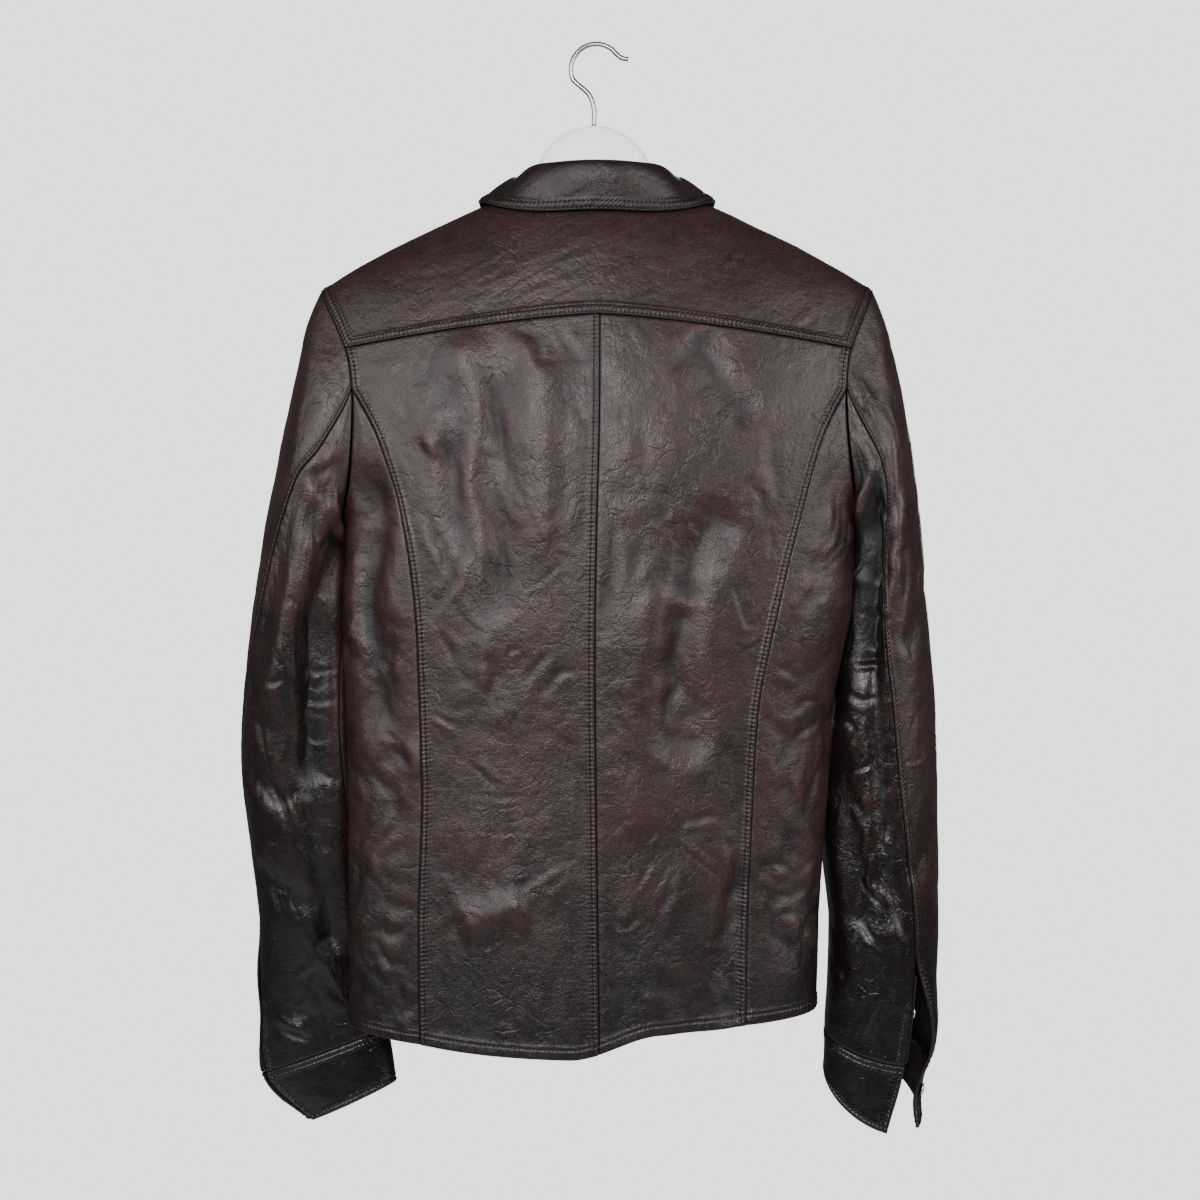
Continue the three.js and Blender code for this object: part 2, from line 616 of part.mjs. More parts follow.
// A facing along the vent: it stands on the edge of the under sleeve and turns inwards.
const FACING_DEPTH = 11;
const FACING_OFF = 1.9;
function facingPoint(sleeve, s, depth) {
  const edge = sleeve.at(BACK_SEAM + nudge, s, 1);
  const next = sleeve.at(BACK_SEAM + 0.04, s, 1);
  const out = edge.p.clone().sub(next.p).normalize();
  return edge.p.addScaledVector(out, FACING_OFF).addScaledVector(edge.n, -depth);
}

function facingAt(sleeve, s, depth) {
  const down = facingPoint(sleeve, s + 0.05, depth).sub(facingPoint(sleeve, s - 0.05, depth));
  const deep = facingPoint(sleeve, s, depth + 1).sub(facingPoint(sleeve, s, depth));
  return { p: facingPoint(sleeve, s, depth), n: down.cross(deep).multiplyScalar(sleeve.hand).normalize() };
}

function ventPlacket(sleeve) {
  const depths = spread(0, FACING_DEPTH, 2);
  const rows = spread(sleeve.cuff - 0.85, sleeve.cuff - 0.03, 6)
    .map((s) => depths.map((depth) => facingAt(sleeve, s, depth)));
  const seen = sleeve.hand > 0 ? rows : rows.map((row) => row.toReversed());
  return wall(seen, 1.2);
}

// A domed snap standing on a point, along its normal.
function snap({ p, n }, lift) {
  const profile = [[0, 0], [0.8, 0], [1, 0.25], [0.96, 0.6], [0.72, 0.9], [0, 1]];
  const outline = profile.map(([r, h]) => new THREE.Vector2(r * SNAP_RADIUS, h * SNAP_HEIGHT));
  const geometry = new THREE.LatheGeometry(outline, 14);
  const turn = new THREE.Quaternion().setFromUnitVectors(vec(0, 1, 0), n);
  geometry.applyQuaternion(turn);
  geometry.translate(...p.clone().addScaledVector(n, lift).toArray());
  return geometry;
}

// The hanger: oval sections along x, domed at the neck and just under the shoulder ridge on both arms.
function hangerTop(x) {
  const off = Math.abs(x - HANGER_X);
  const dome = DOME_TOP - DOME_RADIUS + Math.sqrt(Math.max(0, DOME_RADIUS * DOME_RADIUS - off * off));
  const arm = ridgeZ(x) - LEATHER - SURFACE_GAP - 1.4;
  return off < DOME_RADIUS ? Math.max(dome, arm - 8) : arm - 8 * (1 - smoothstep(off, DOME_RADIUS, 84));
}

function hanger() {
  const ways = [...spread(-HANGER_HALF, -60, 9), ...spread(-50, 45, 12), ...spread(56, HANGER_HALF, 9)];
  const rings = ways.map((x) => {
    const end = Math.sqrt(clamp((HANGER_HALF + 6 - Math.abs(x)) / 24, 0, 1));
    const high = hangerTop(x);
    const tall = lerp(34, 22, smoothstep(Math.abs(x), 60, HANGER_HALF)) * end;
    const low = Math.abs(x) < 60 ? Math.min(high - tall, -146) : high - tall;
    const middle = (high + low) / 2;
    return spread(0, 2 * Math.PI, 10).slice(0, -1).map((a) => vec(
      x, HANGER_THICK * end * Math.sin(a), middle + (high - low) / 2 * Math.cos(a),
    ));
  });
  return loft(rings);
}

// A closed body through rings of points, flat at both ends.
function loft(rings) {
  const n = rings[0].length;
  const positions = rings.flat().flatMap((p) => p.toArray());
  const faces = [];
  for (let r = 0; r < rings.length - 1; r += 1) {
    for (let i = 0; i < n; i += 1) {
      const [a, b] = [r * n + i, r * n + (i + 1) % n];
      faces.push(a, b + n, b, a, a + n, b + n);
    }
  }
  for (let i = 1; i < n - 1; i += 1) {
    const end = (rings.length - 1) * n;
    faces.push(0, i, i + 1, end, end + i + 1, end + i);
  }
  const geometry = new THREE.BufferGeometry();
  geometry.setAttribute("position", new THREE.Float32BufferAttribute(positions, 3));
  geometry.setIndex(faces);
  geometry.computeVertexNormals();
  return geometry;
}

// The hook: a stem, a bend to the left, an arc over the top and a short curl at the tip.
function hook() {
  const centre = vec(-0.6, 0, WIRE - HOOK_RADIUS);
  const arc = spread(205, 38, 12).map((deg) => centre.clone().add(
    vec(Math.cos(degToRad(deg)), 0, Math.sin(degToRad(deg))).multiplyScalar(HOOK_RADIUS),
  ));
  const stem = [vec(HANGER_X, 0, DOME_TOP + SURFACE_GAP), vec(HANGER_X, 0, -50), vec(-6.5, 0, -39)];
  const tip = [vec(20, 0, -9.4), vec(25.5, 0, -10.4)];
  const path = new THREE.CatmullRomCurve3([...stem, ...arc, ...tip]);
  const rings = steps(42).map((t) => {
    const p = path.getPointAt(t);
    const way = path.getTangentAt(t);
    const side = vec(0, 1, 0);
    const up = way.clone().cross(side);
    return spread(0, 2 * Math.PI, 8).slice(0, -1).map((a) => p.clone()
      .addScaledVector(side, WIRE * Math.sin(a))
      .addScaledVector(up, WIRE * Math.cos(a)));
  });
  return loft(rings);
}

const jacket = new THREE.Group();
jacket.name = "leather_jacket";

const LEATHER_LOOK = { color: 0x4a3734, roughness: 0.45, metalness: 0 };
const SNAP_LOOK = { color: 0xd8d6d0, roughness: 0.3, metalness: 0.8 };

function add(name, geometry, look) {
  const mesh = new THREE.Mesh(geometry, new THREE.MeshStandardMaterial(look));
  mesh.name = name;
  jacket.add(mesh);
}

add("yoke", yoke(), LEATHER_LOOK);
add("collar_stand", collarStand(), LEATHER_LOOK);
add("collar_fall", collarFall(), LEATHER_LOOK);
add("front_placket", frontPlacket(), LEATHER_LOOK);
for (const [hand, word, sleeve] of [[-1, "left", left], [1, "right", right]]) {
  add(`back_${word}`, centreBack(hand), LEATHER_LOOK);
  add(`side_back_${word}`, sideBack(hand), LEATHER_LOOK);
  add(`front_${word}`, front(hand), LEATHER_LOOK);
  add(`sleeve_upper_${word}`, sleeve.panel(upperWays.map(wrap), 20, LEATHER), LEATHER_LOOK);
  add(`sleeve_under_${word}`, sleeve.panel(underWays, 20, LEATHER), LEATHER_LOOK);
  add(`cuff_${word}`, cuff(sleeve), LEATHER_LOOK);
  add(`vent_placket_${word}`, ventPlacket(sleeve), LEATHER_LOOK);
  const vent = facingAt(sleeve, sleeve.cuff - 0.5, FACING_DEPTH / 2);
  add(`vent_snap_${word}`, snap(vent, 2 * SURFACE_GAP), SNAP_LOOK);
  add(`cuff_snap_${word}`, snap(cuffAt(sleeve, CUFF_END - 0.32, 0.5), SURFACE_GAP + 0.4), SNAP_LOOK);
}
spread(FIRST_SNAP_Z, LAST_SNAP_Z, FRONT_SNAPS - 1).forEach((z, i) => {
  add(`front_snap_${i + 1}`, snap(frontAt(-1, 0, z), LEATHER + 2 * SURFACE_GAP), SNAP_LOOK);
});
add("hanger_body", hanger(), { color: 0xe9eaea, roughness: 0.35, metalness: 0 });
add("hanger_hook", hook(), { color: 0xc9ccd0, roughness: 0.15, metalness: 1 });

export default jacket;
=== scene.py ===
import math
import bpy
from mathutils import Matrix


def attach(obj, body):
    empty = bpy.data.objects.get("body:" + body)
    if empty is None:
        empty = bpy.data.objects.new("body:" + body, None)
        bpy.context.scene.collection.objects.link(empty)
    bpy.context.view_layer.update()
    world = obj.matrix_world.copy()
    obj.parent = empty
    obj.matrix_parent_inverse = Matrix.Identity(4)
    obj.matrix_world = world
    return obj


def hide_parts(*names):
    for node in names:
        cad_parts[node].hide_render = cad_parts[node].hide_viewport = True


bl_info = {
    "name": "Leather Jacket on a Hanger",
    "version": (1, 0, 0),
    "blender": (4, 5, 0),
    "location": "View3D > Sidebar > Jacket",
    "description": "Cuts, sews and hangs a worn leather jacket around its packed solids",
    "category": "Add Mesh",
}

import bpy
import numpy as np
from bpy.props import FloatProperty, FloatVectorProperty, PointerProperty
from bpy.types import Operator, Panel, PropertyGroup

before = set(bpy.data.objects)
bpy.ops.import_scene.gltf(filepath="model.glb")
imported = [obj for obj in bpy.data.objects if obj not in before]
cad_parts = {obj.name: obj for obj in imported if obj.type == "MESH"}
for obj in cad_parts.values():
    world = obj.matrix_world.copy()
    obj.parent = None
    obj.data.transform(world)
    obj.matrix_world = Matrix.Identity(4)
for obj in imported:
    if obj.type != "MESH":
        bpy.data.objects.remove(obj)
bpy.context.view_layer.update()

# Sizes are millimetres in the frame's axes, and become metres when a mesh is made
MM = 0.001
LEATHER = 1.5
CUFF_LEATHER = 2.2
SEAM_GAP = 0.3
SURFACE_GAP = 0.3
ARMHOLE_GAP = 0.4

# Shoulders
RIDGE_TOP = -80
RIDGE_SLOPE = 0.492
RIDGE_ROUND = 40
RIDGE_DROP = 7.2
SHOULDER_HALF = 223.2
CROWN = 230
SQUARENESS = 2.4

# Seams of the body
YOKE_CENTRE_Z = -223
YOKE_CORNER_Z = -247
YOKE_CORNER_X = 201.5
YOKE_BOW = 1.35
YOKE_FRONT_Z = -226
JUNCTION_Z = -280
FRONT_SEAM_Z = -360
PIT_Z = -382
ARM_TOP_Z = -198.7
HEM_Z = -810
HEM_CURVE = 0.00055
HEM_LIFT = 18
FRONT_HEM_DIP = 16

# Neck and collar
NECK_HALF = 84
NECK_BACK = 0.553
NECK_FRONT = 0.961
YOKE_END = math.radians(113)
COLLAR_END = math.radians(166)
STAND_BACK = 34
STAND_SIDE = 20
FALL_HALF = 94
FALL_BACK = 0.606
FALL_POINT_X = 62
FALL_POINT = 1.15
FALL_LIFT = 5

# Front closing
LAP = 15
LAP_STEP = 4.4
SNAP_RADIUS = 5.2
SNAP_HEIGHT = 2.4
FRONT_SNAPS = 6
FIRST_SNAP_Z = -232
LAST_SNAP_Z = -730
CUFF_SNAP_TURN = 0.32
VENT_SNAP_DOWN = 0.427

# Hanger
HANGER_X = -2.5
DOME_RADIUS = 48
DOME_TOP = -64.5
HANGER_HALF = 200
HANGER_THICK = 6.5
HANGER_TALL = 34
HANGER_TIP_TALL = 22
HANGER_NECK = 60
HANGER_LOW = -146
HANGER_SINK = 8
HANGER_CLEAR = 1.4
TIP_OVER = 6
TIP_ROUND = 24

# Hook as x and z: stem and bend, angles of the arc and x of its middle, tip
WIRE = 2
HOOK_RADIUS = 20.5
HOOK_STEM = [(HANGER_X, DOME_TOP + SURFACE_GAP), (HANGER_X, -50), (-6.5, -39)]
HOOK_ARC = (205, 38)
HOOK_X = -0.6
HOOK_TIP = [(20, -9.4), (25.5, -10.4)]

# Turned-in edges under seams: lines across the seam, trim at both ends, thickness
TURNING_REACH = (5, 1.6, -1.6, -5)
TURNING_TRIM = 0.4
TURNING_LEATHER = 0.6

# Stitches: share of the pitch that shows as thread, start of a row
STITCH_SHARE = 0.76
STITCH_START = 1.5

# Calm, shine and painted shade: reach of the calm along edges, fade of the shine, heights below the hook over
# which the leather is painted darker towards the bottom as painted shade
CALM_REACH = 18
SHINE_FADE = 140
PAINTED_SHADE_FROM = 590
PAINTED_SHADE_TO = 840

# Stage in metres: floor, brightness of the room and of the backdrop, place of the camera
FLOOR_RADIUS = 2.3
FLOOR_SIDES = 64
ROOM_COLOUR = (0.97, 1.0, 0.985, 1)
ROOM_LIGHT = 0.13
BACKDROP_LIGHT = 2.1
CAMERA_X = 0.0024
CAMERA_Z = -0.4483
LAMP_TARGET = (0, 0, -0.42)

# Lamps: name, place and size in metres, power in watts
LAMPS = (
    ("key", (-0.4, -2.2, 0.12), 0.85, 51),
    ("right", (1.7, -1.5, 0.15), 1.4, 50),
    ("left", (-1.7, -1.5, 0.2), 1.4, 38),
    ("front", (0.3, 2.3, 0.0), 1.6, 60),
)

# The torso at a height: z, half width, centre x, depth of the back, depth of the front
TORSO = [
    (-810, 188, -11, 54, 44),
    (-700, 190, -10.7, 52, 44),
    (-609, 193.9, -7.6, 52, 45),
    (-528, 197.7, -5.8, 55, 47),
    (-453, 205.5, 0, 59, 49),
    (-383, 208, 3, 61, 50),
    (-290, 236, 2, 61, 50),
    (-200, 250, 0, 60, 48),
]

# Seams as z and distance from the middle
ARMHOLE = [
    (PIT_Z, 208), (-352, 201.5), (-325, 198), (-300, 196.5), (-275, 197),
    (YOKE_CORNER_Z, YOKE_CORNER_X), (ARM_TOP_Z, SHOULDER_HALF),
]
PRINCESS = [
    (-810, 128.5), (-700, 130), (-600, 130.5), (-535, 133.5), (-490, 138.3), (-450, 144),
    (-414, 150.5), (-386, 157), (-355, 165), (-325, 174), (-302, 184), (-280, 196.7),
]
CENTRE_BACK = [(-810, 1.5), (-640, -0.7), (-500, -2.1), (-395, -0.7), (-311, 1.5), (-224, 2)]

# A sleeve's rings: outer x and z, inner x and z, half depth, middle y,
# angles of the back and front seams, half angle of the vent, droop of the back
SLEEVE_RIGHT = [
    (223.2, -198.7, 209, -382, 34, 0, 84, 221, 0, 0),
    (236, -232, 214, -391, 39, 2, 89, 216, 0, 0),
    (247, -277, 213.5, -400, 44, 5, 90, 212, 0, 0),
    (255.5, -328, 211, -413, 47, 9, 97, 212, 0, 0),
    (263, -388, 206.5, -439, 47, 13, 105, 214, 0, 0),
    (269, -452, 200.5, -481, 46, 16, 100, 212, 0, 0),
    (275.5, -525, 193, -541, 44, 19, 87, 206, 0, 0),
    (279, -600, 189.5, -608, 42, 21, 78, 200, 0, 0),
    (280.5, -680, 190, -683, 40, 22, 66, 194, 0, 0),
    (280, -735, 189.5, -741, 36, 23, 59, 188, 1, 4),
    (274, -820, 186.5, -800, 31, 24, 46, 180, 19, 12),
    (266, -868, 186, -836, 28, 24, 54, 180, 24, 25),
]
SLEEVE_LEFT = [
    (223.2, -198.7, 209, -382, 34, 0, 84, 221, 0, 0),
    (236, -228, 213, -391, 39, 2, 90, 214, 0, 0),
    (246, -273, 211, -400, 44, 5, 87, 204, 0, 0),
    (257, -325, 208.5, -412, 47, 9, 72, 190, 0, 0),
    (270, -388, 206.5, -437, 47, 13, 56, 173, 0, 0),
    (280.5, -455, 205.5, -479, 46, 16, 41, 156, 0, 0),
    (288, -525, 202.5, -539, 44, 19, 18, 147, 0, 0),
    (290.5, -590, 200, -595, 41, 23, 5, 148, 0, 0),
    (284, -655, 197, -656, 37, 28, 0, 154, 0, 0),
    (278, -715, 192, -713, 32, 33, 2, 158, 0, 0),
    (279.5, -780, 186, -761, 24, 38, 8, 160, 10, 0),
    (278.5, -840, 173, -801, 17, 39, 10, 160, 16, 0),
    (240, -880, 166, -846, 14, 39, 12, 160, 18, 0),
]

# The largest folds of the back: x and z of both ends, half width, height
BACK_FOLDS = [
    (-96, -238, -124, -330, 15, 4),
    (-112, -262, -114, -410, 12, -4),
    (-80, -262, -76, -450, 15, -5),
    (-50, -250, -44, -420, 16, 3),
    (73, -246, 122, -306, 15, -5),
    (98, -372, 66, -446, 18, -7),
    (66, -446, 68, -575, 18, -7),
    (30, -430, 26, -640, 20, 4),
    (-178, -345, -175, -550, 13, -7),
    (112, -660, 106, -790, 14, -6),
    (-110, -700, -55, -690, 16, 5),
    (70, -745, 78, -815, 16, -7),
]

# The largest folds of the sleeves: angle and ring of both ends, half width, height
RIGHT_FOLDS = [
    (132, 1.8, 122, 5.5, 13, -14),
    (114, 5.2, 84, 8.4, 10, -6),
    (150, 6.4, 112, 8.6, 14, -5),
    (20, 4.6, 70, 5.4, 12, -3),
    (30, 7.2, 64, 7.9, 12, -3),
]
LEFT_FOLDS = [
    (156, 2.4, 124, 4.6, 11, -7),
    (122, 4.6, 112, 7.2, 15, -12),
    (112, 7.2, 116, 9.4, 14, -8),
    (110, 3.4, 64, 6.2, 13, 6),
    (30, 6.9, 90, 7.3, 12, -4),
    (20, 8.2, 100, 8.7, 14, -4),
]
DEGREE_WIDTH = 0.75
RING_LENGTH = 62
FACING_DEPTH = 11
FACING_OFF = 1.9

# Creases seen from the back: points as x and z, half width, depth, and how far one side rolls up,
# positive to the left of a line that runs down and negative to its right
BACK_CREASES = [
    ([(-84, -258), (-82, -285), (-77, -315), (-74, -340), (-70, -358), (-58, -368)], 5, 2.2, 0.6),
    ([(-80, -352), (-79, -390), (-74, -430), (-73, -452), (-86, -470)], 6, 2.4, 0.7),
    ([(-108, -292), (-111, -340), (-108, -380), (-106, -405)], 6, 1.6, -0.9),
    ([(-122, -300), (-119, -330), (-114, -356)], 5, 1.8, 0.8),
    ([(-150, -318), (-126, -343)], 5, 1.2, -1.0),
    ([(-132, -374), (-126, -400), (-117, -424), (-112, -436)], 3.5, 1.6, 0.7),
    ([(-105, -398), (-112, -428), (-121, -452), (-135, -467)], 3.5, 1.8, -0.7),
    ([(-62, -232), (-50, -244), (-42, -262), (-30, -264)], 5, 2.2, 0.9),
    ([(-30, -232), (-22, -250), (-8, -258)], 4, 1.0, -0.8),
    ([(-98, -332), (-82, -337), (-70, -338)], 1.6, 0.7, 0.5),
    ([(-46, -265), (-30, -262), (-6, -255)], 1.6, 0.6, 0.5),
    ([(-64, -441), (-42, -432), (-30, -424), (-17, -419)], 1.8, 0.9, 0.6),
    ([(-128, -470), (-116, -484), (-112, -500)], 4, 1.0, -0.6),
    ([(-79, -474), (-80, -500), (-83, -522), (-76, -538)], 4.5, 1.4, 0.7),
    ([(-74, -493), (-66, -488), (-56, -487)], 1.6, 0.7, 0.5),
    ([(-62, -514), (-46, -500), (-28, -487)], 3, 1.1, 0.8),
    ([(-48, -524), (-30, -508), (-12, -500)], 3, 0.9, 0.8),
    ([(-132, -536), (-118, -542), (-104, -550)], 2.2, 0.9, 0.6),
    ([(-104, -576), (-90, -586), (-76, -596)], 2.2, 0.9, -0.6),
    ([(-100, -603), (-76, -604), (-48, -602)], 1.6, 0.7, 0.5),
    ([(-80, -694), (-66, -680), (-52, -670), (-34, -659), (-8, -646)], 2.2, 0.7, 0.4),
    ([(-76, -690), (-67, -704), (-56, -718)], 3.2, 1.1, 0.7),
    ([(-122, -722), (-114, -706), (-98, -698), (-78, -702)], 4, 0.7, -0.6),
    ([(-97, -725), (-78, -719)], 1.6, 0.7, 0.5),
    ([(-112, -634), (-70, -631), (-30, -633)], 1.8, 0.5, 0.5),
    ([(66, -238), (90, -264), (110, -292), (124, -308)], 6, 0.6, -0.9),
    ([(128, -300), (138, -330), (140, -360), (138, -396)], 6, 1.4, 0.5),
    ([(112, -366), (96, -378), (84, -392), (76, -416), (68, -452), (61, -500), (57, -555), (51, -600),
      (54, -632)], 7.5, 3.6, 0.6),
    ([(12, -380), (12, -420), (8, -460), (6, -488)], 5, 1.8, -0.6),
    ([(104, -430), (112, -452), (119, -466), (134, -466)], 2.5, 1.0, 0.6),
    ([(112, -489), (124, -484), (134, -476)], 2, 0.9, -0.9),
    ([(120, -350), (130, -380), (138, -398)], 4, 1.2, 0.6),
    ([(50, -636), (62, -641), (80, -653), (97, -668), (104, -684)], 2, 1.2, -0.9),
    ([(60, -634), (72, -622), (86, -620), (102, -624)], 2.4, 1.0, 0.9),
    ([(104, -556), (111, -600), (112, -640), (108, -690), (99, -735), (95, -782)], 7, 3.0, 0.5),
    ([(26, -682), (34, -668), (44, -652)], 2, 0.9, 0.7),
    ([(42, -684), (52, -668), (60, -652)], 2, 0.9, 0.7),
    ([(24, -708), (36, -696)], 2, 0.8, 0.7),
    ([(38, -640), (50, -628)], 2, 0.8, 0.7),
    ([(12, -634), (22, -622), (34, -619)], 2, 0.7, 0.6),
    ([(50, -696), (56, -674), (62, -655)], 3, 1.2, 0.6),
    ([(-162, -556), (-156, -575), (-158, -592)], 6, 2.6, -0.9),
    ([(-186, -400), (-182, -460), (-177, -520), (-172, -545)], 5, 2.2, 0.6),
    ([(-180, -712), (-172, -726), (-160, -740)], 4, 1.2, -0.9),
    ([(-162, -786), (-152, -776), (-143, -766)], 2, 0.9, 0.6),
    ([(-176, -742), (-160, -737), (-146, -739)], 2, 0.7, -0.5),
    ([(-172, -552), (-150, -562)], 2.5, 0.9, 0.6),
    ([(146, -572), (149, -596), (152, -622)], 4, 1.4, -0.8),
    ([(134, -660), (146, -657), (160, -668)], 2.5, 1.0, 0.7),
    ([(150, -540), (164, -530), (180, -528)], 3, 1.2, 0.7),
    ([(140, -500), (152, -506), (164, -516)], 2.2, 1.0, 0.7),
    ([(138, -700), (152, -697), (166, -700)], 2.5, 0.9, 0.6),
    ([(160, -455), (172, -448), (186, -440)], 3, 1.1, 0.6),
    ([(152, -560), (165, -553), (184, -546)], 2.2, 1.1, 0.7),
    ([(176, -214), (170, -226), (160, -236)], 2.2, 1.2, 0.8),
]

# Creases of the sleeves, in the same form
SLEEVE_CREASES = [
    ([(-252, -452), (-240, -448), (-226, -456)], 1.8, 1.0, 0.6),
    ([(-270, -514), (-258, -513), (-246, -508)], 2, 1.4, 0.6),
    ([(-238, -500), (-222, -505), (-206, -502)], 2.2, 1.1, 0.6),
    ([(-232, -514), (-220, -518), (-210, -513)], 1.8, 0.8, 0.6),
    ([(-240, -521), (-226, -530), (-208, -527)], 2.4, 1.2, 0.7),
    ([(-228, -543), (-218, -540), (-206, -545)], 1.8, 0.9, -0.6),
    ([(-236, -553), (-224, -561), (-212, -559)], 2.2, 1.0, 0.6),
    ([(-222, -585), (-214, -596), (-206, -600)], 2.4, 1.1, 0.6),
    ([(-196, -338), (-211, -341), (-222, -351), (-217, -366), (-205, -369)], 4, 3.2, 0.9),
    ([(-204, -352), (-210, -380), (-222, -412), (-229, -440)], 5, 3.0, -0.7),
    ([(-246, -765), (-238, -757), (-228, -748)], 2.5, 1.2, -0.9),
    ([(-236, -737), (-222, -728), (-210, -718)], 3, 1.0, -0.8),
    ([(-250, -776), (-240, -770)], 2, 0.9, 0.6),
    ([(-258, -780), (-240, -786), (-226, -792)], 4, 1.2, 0.6),
    ([(-268, -795), (-254, -803), (-240, -807), (-230, -801)], 3.4, 3.0, -1.1),
    ([(-250, -822), (-236, -818), (-222, -812)], 2.6, 1.6, 0.8),
    ([(-272, -600), (-262, -612), (-250, -614)], 2, 0.8, 0.6),
    ([(-276, -640), (-262, -646), (-248, -640)], 2, 0.8, 0.6),
    ([(-268, -680), (-254, -684), (-240, -678)], 2, 0.7, 0.6),
    *[([(-221 - 2.6 * k, -310 - 4.7 * k), (-233 - 2.6 * k, -302 - 4.7 * k)], 1.5, 0.8, 0.5)
      for k in range(8)],
    ([(228, -498), (216, -494), (202, -497)], 3, 3.0, -1.0),
    ([(204, -668), (214, -678), (226, -690), (234, -702)], 2.4, 1.8, -1.0),
    ([(208, -700), (220, -720), (236, -740)], 3, 1.6, 1.0),
    ([(240, -694), (246, -712), (250, -735)], 3, 1.4, 0.8),
    ([(196, -590), (210, -584), (226, -578)], 2, 1.2, 0.7),
    ([(198, -540), (206, -552), (204, -566)], 2, 1.3, 0.7),
    ([(222, -640), (230, -646), (234, -655)], 2, 1.2, -0.8),
    ([(196, -520), (212, -530), (228, -524)], 2.5, 1.5, 0.7),
    ([(206, -606), (214, -620), (216, -640)], 2.5, 1.3, 0.7),
    ([(190, -700), (198, -730), (202, -770)], 3, 1.2, 0.6),
    ([(232, -760), (240, -770), (246, -768)], 2, 1.0, 0.6),
    ([(244, -575), (256, -578), (268, -572)], 2, 0.9, 0.6),
    ([(206, -260), (214, -272), (224, -290)], 3, 1.5, 0.7),
    ([(208, -290), (216, -300), (222, -312)], 2.5, 1.3, 0.7),
    ([(214, -236), (220, -256), (226, -290)], 4, 1.2, -0.6),
    ([(229, -318), (225, -360), (218, -402), (211, -440)], 4.5, 4.2, 0.9),
    ([(236, -340), (233, -390), (228, -436), (221, -482)], 4, 3.6, -0.9),
    ([(215, -352), (224, -374), (236, -392)], 3, 2.8, 0.8),
    ([(208, -414), (221, -430), (236, -440)], 3, 3.2, 0.9),
    ([(206, -456), (222, -464), (238, -462)], 3, 3.0, -0.8),
    ([(224, -396), (219, -428), (226, -462)], 3, 2.4, 0.6),
    ([(212, -478), (222, -484), (232, -490)], 2.5, 2.4, 0.7),
]

# Creases of the fronts, in the same form, as if seen through from the back
FRONT_CREASES = [
    ([(-206, -390), (-170, -420), (-130, -470)], 7, 2.6, 0.8),
    ([(-196, -412), (-168, -448), (-150, -490)], 5, 1.8, -0.8),
    ([(204, -395), (172, -430), (140, -468)], 6, 2.4, -0.8),
    ([(198, -425), (180, -452), (164, -500)], 5, 1.6, 0.8),
    ([(-95, -260), (-90, -340), (-98, -430), (-92, -500)], 9, 3.4, 0.6),
    ([(88, -270), (96, -350), (90, -440), (94, -480)], 8, 3.0, -0.6),
    ([(-140, -300), (-134, -380), (-126, -440)], 6, 2.0, -0.7),
    ([(140, -310), (130, -390), (134, -450)], 6, 2.0, 0.7),
    ([(-175, -250), (-150, -290), (-140, -330)], 6, 1.8, 0.7),
    ([(172, -255), (150, -300), (146, -325)], 6, 1.6, -0.7),
    ([(-180, -560), (-140, -572), (-100, -566)], 3.5, 1.8, 0.7),
    ([(-64, -590), (-46, -598), (-28, -600)], 2.5, 1.2, 0.6),
    ([(172, -548), (130, -560), (96, -556)], 3.5, 1.8, 0.7),
    ([(60, -610), (92, -602), (120, -612)], 2.5, 1.3, 0.6),
    ([(-150, -640), (-110, -632), (-70, -645)], 3, 1.4, -0.7),
    ([(150, -650), (110, -640), (60, -652)], 3, 1.4, 0.7),
    ([(-110, -640), (-104, -700), (-112, -780)], 9, 3.2, 0.5),
    ([(108, -630), (100, -710), (106, -790)], 9, 3.2, -0.5),
    ([(-50, -660), (-46, -730), (-52, -800)], 7, 2.2, 0.5),
    ([(54, -680), (48, -740), (50, -800)], 7, 2.0, -0.5),
    ([(-30, -420), (-52, -432)], 2, 0.9, 0.6),
    ([(30, -330), (56, -342)], 2, 0.9, 0.6),
    ([(-32, -520), (-58, -516)], 2, 0.8, 0.6),
    ([(34, -470), (60, -480)], 2, 0.9, -0.6),
]


class JacketSizes(PropertyGroup):
    """Sizes of the jacket's sewing and of the stage."""

    grid: FloatProperty(
        name="Grid", description="Spacing of the points on panels that show",
        default=2.3 * MM, unit="LENGTH")
    plain_grid: FloatProperty(
        name="Plain Grid", description="Spacing of the points on the fronts",
        default=3.4 * MM, unit="LENGTH")
    stitch: FloatProperty(
        name="Stitch", description="Length of one stitch with its gap",
        default=3.6 * MM, unit="LENGTH")
    thread: FloatProperty(
        name="Thread", description="Radius of the sewing thread",
        default=0.34 * MM, unit="LENGTH")
    wrinkle: FloatProperty(
        name="Wrinkle", description="Strength of the fine wrinkles", default=1.0, subtype="FACTOR")
    camera_distance: FloatProperty(
        name="Camera Distance", description="From the camera to the hanger's plane",
        default=1.7, unit="LENGTH")
    frame_width: FloatProperty(
        name="Frame Width", description="Width that the picture covers at the hanger's plane",
        default=0.972, unit="LENGTH")
    floor_drop: FloatProperty(
        name="Floor Drop", description="From the hook down to the floor", default=1.9, unit="LENGTH")


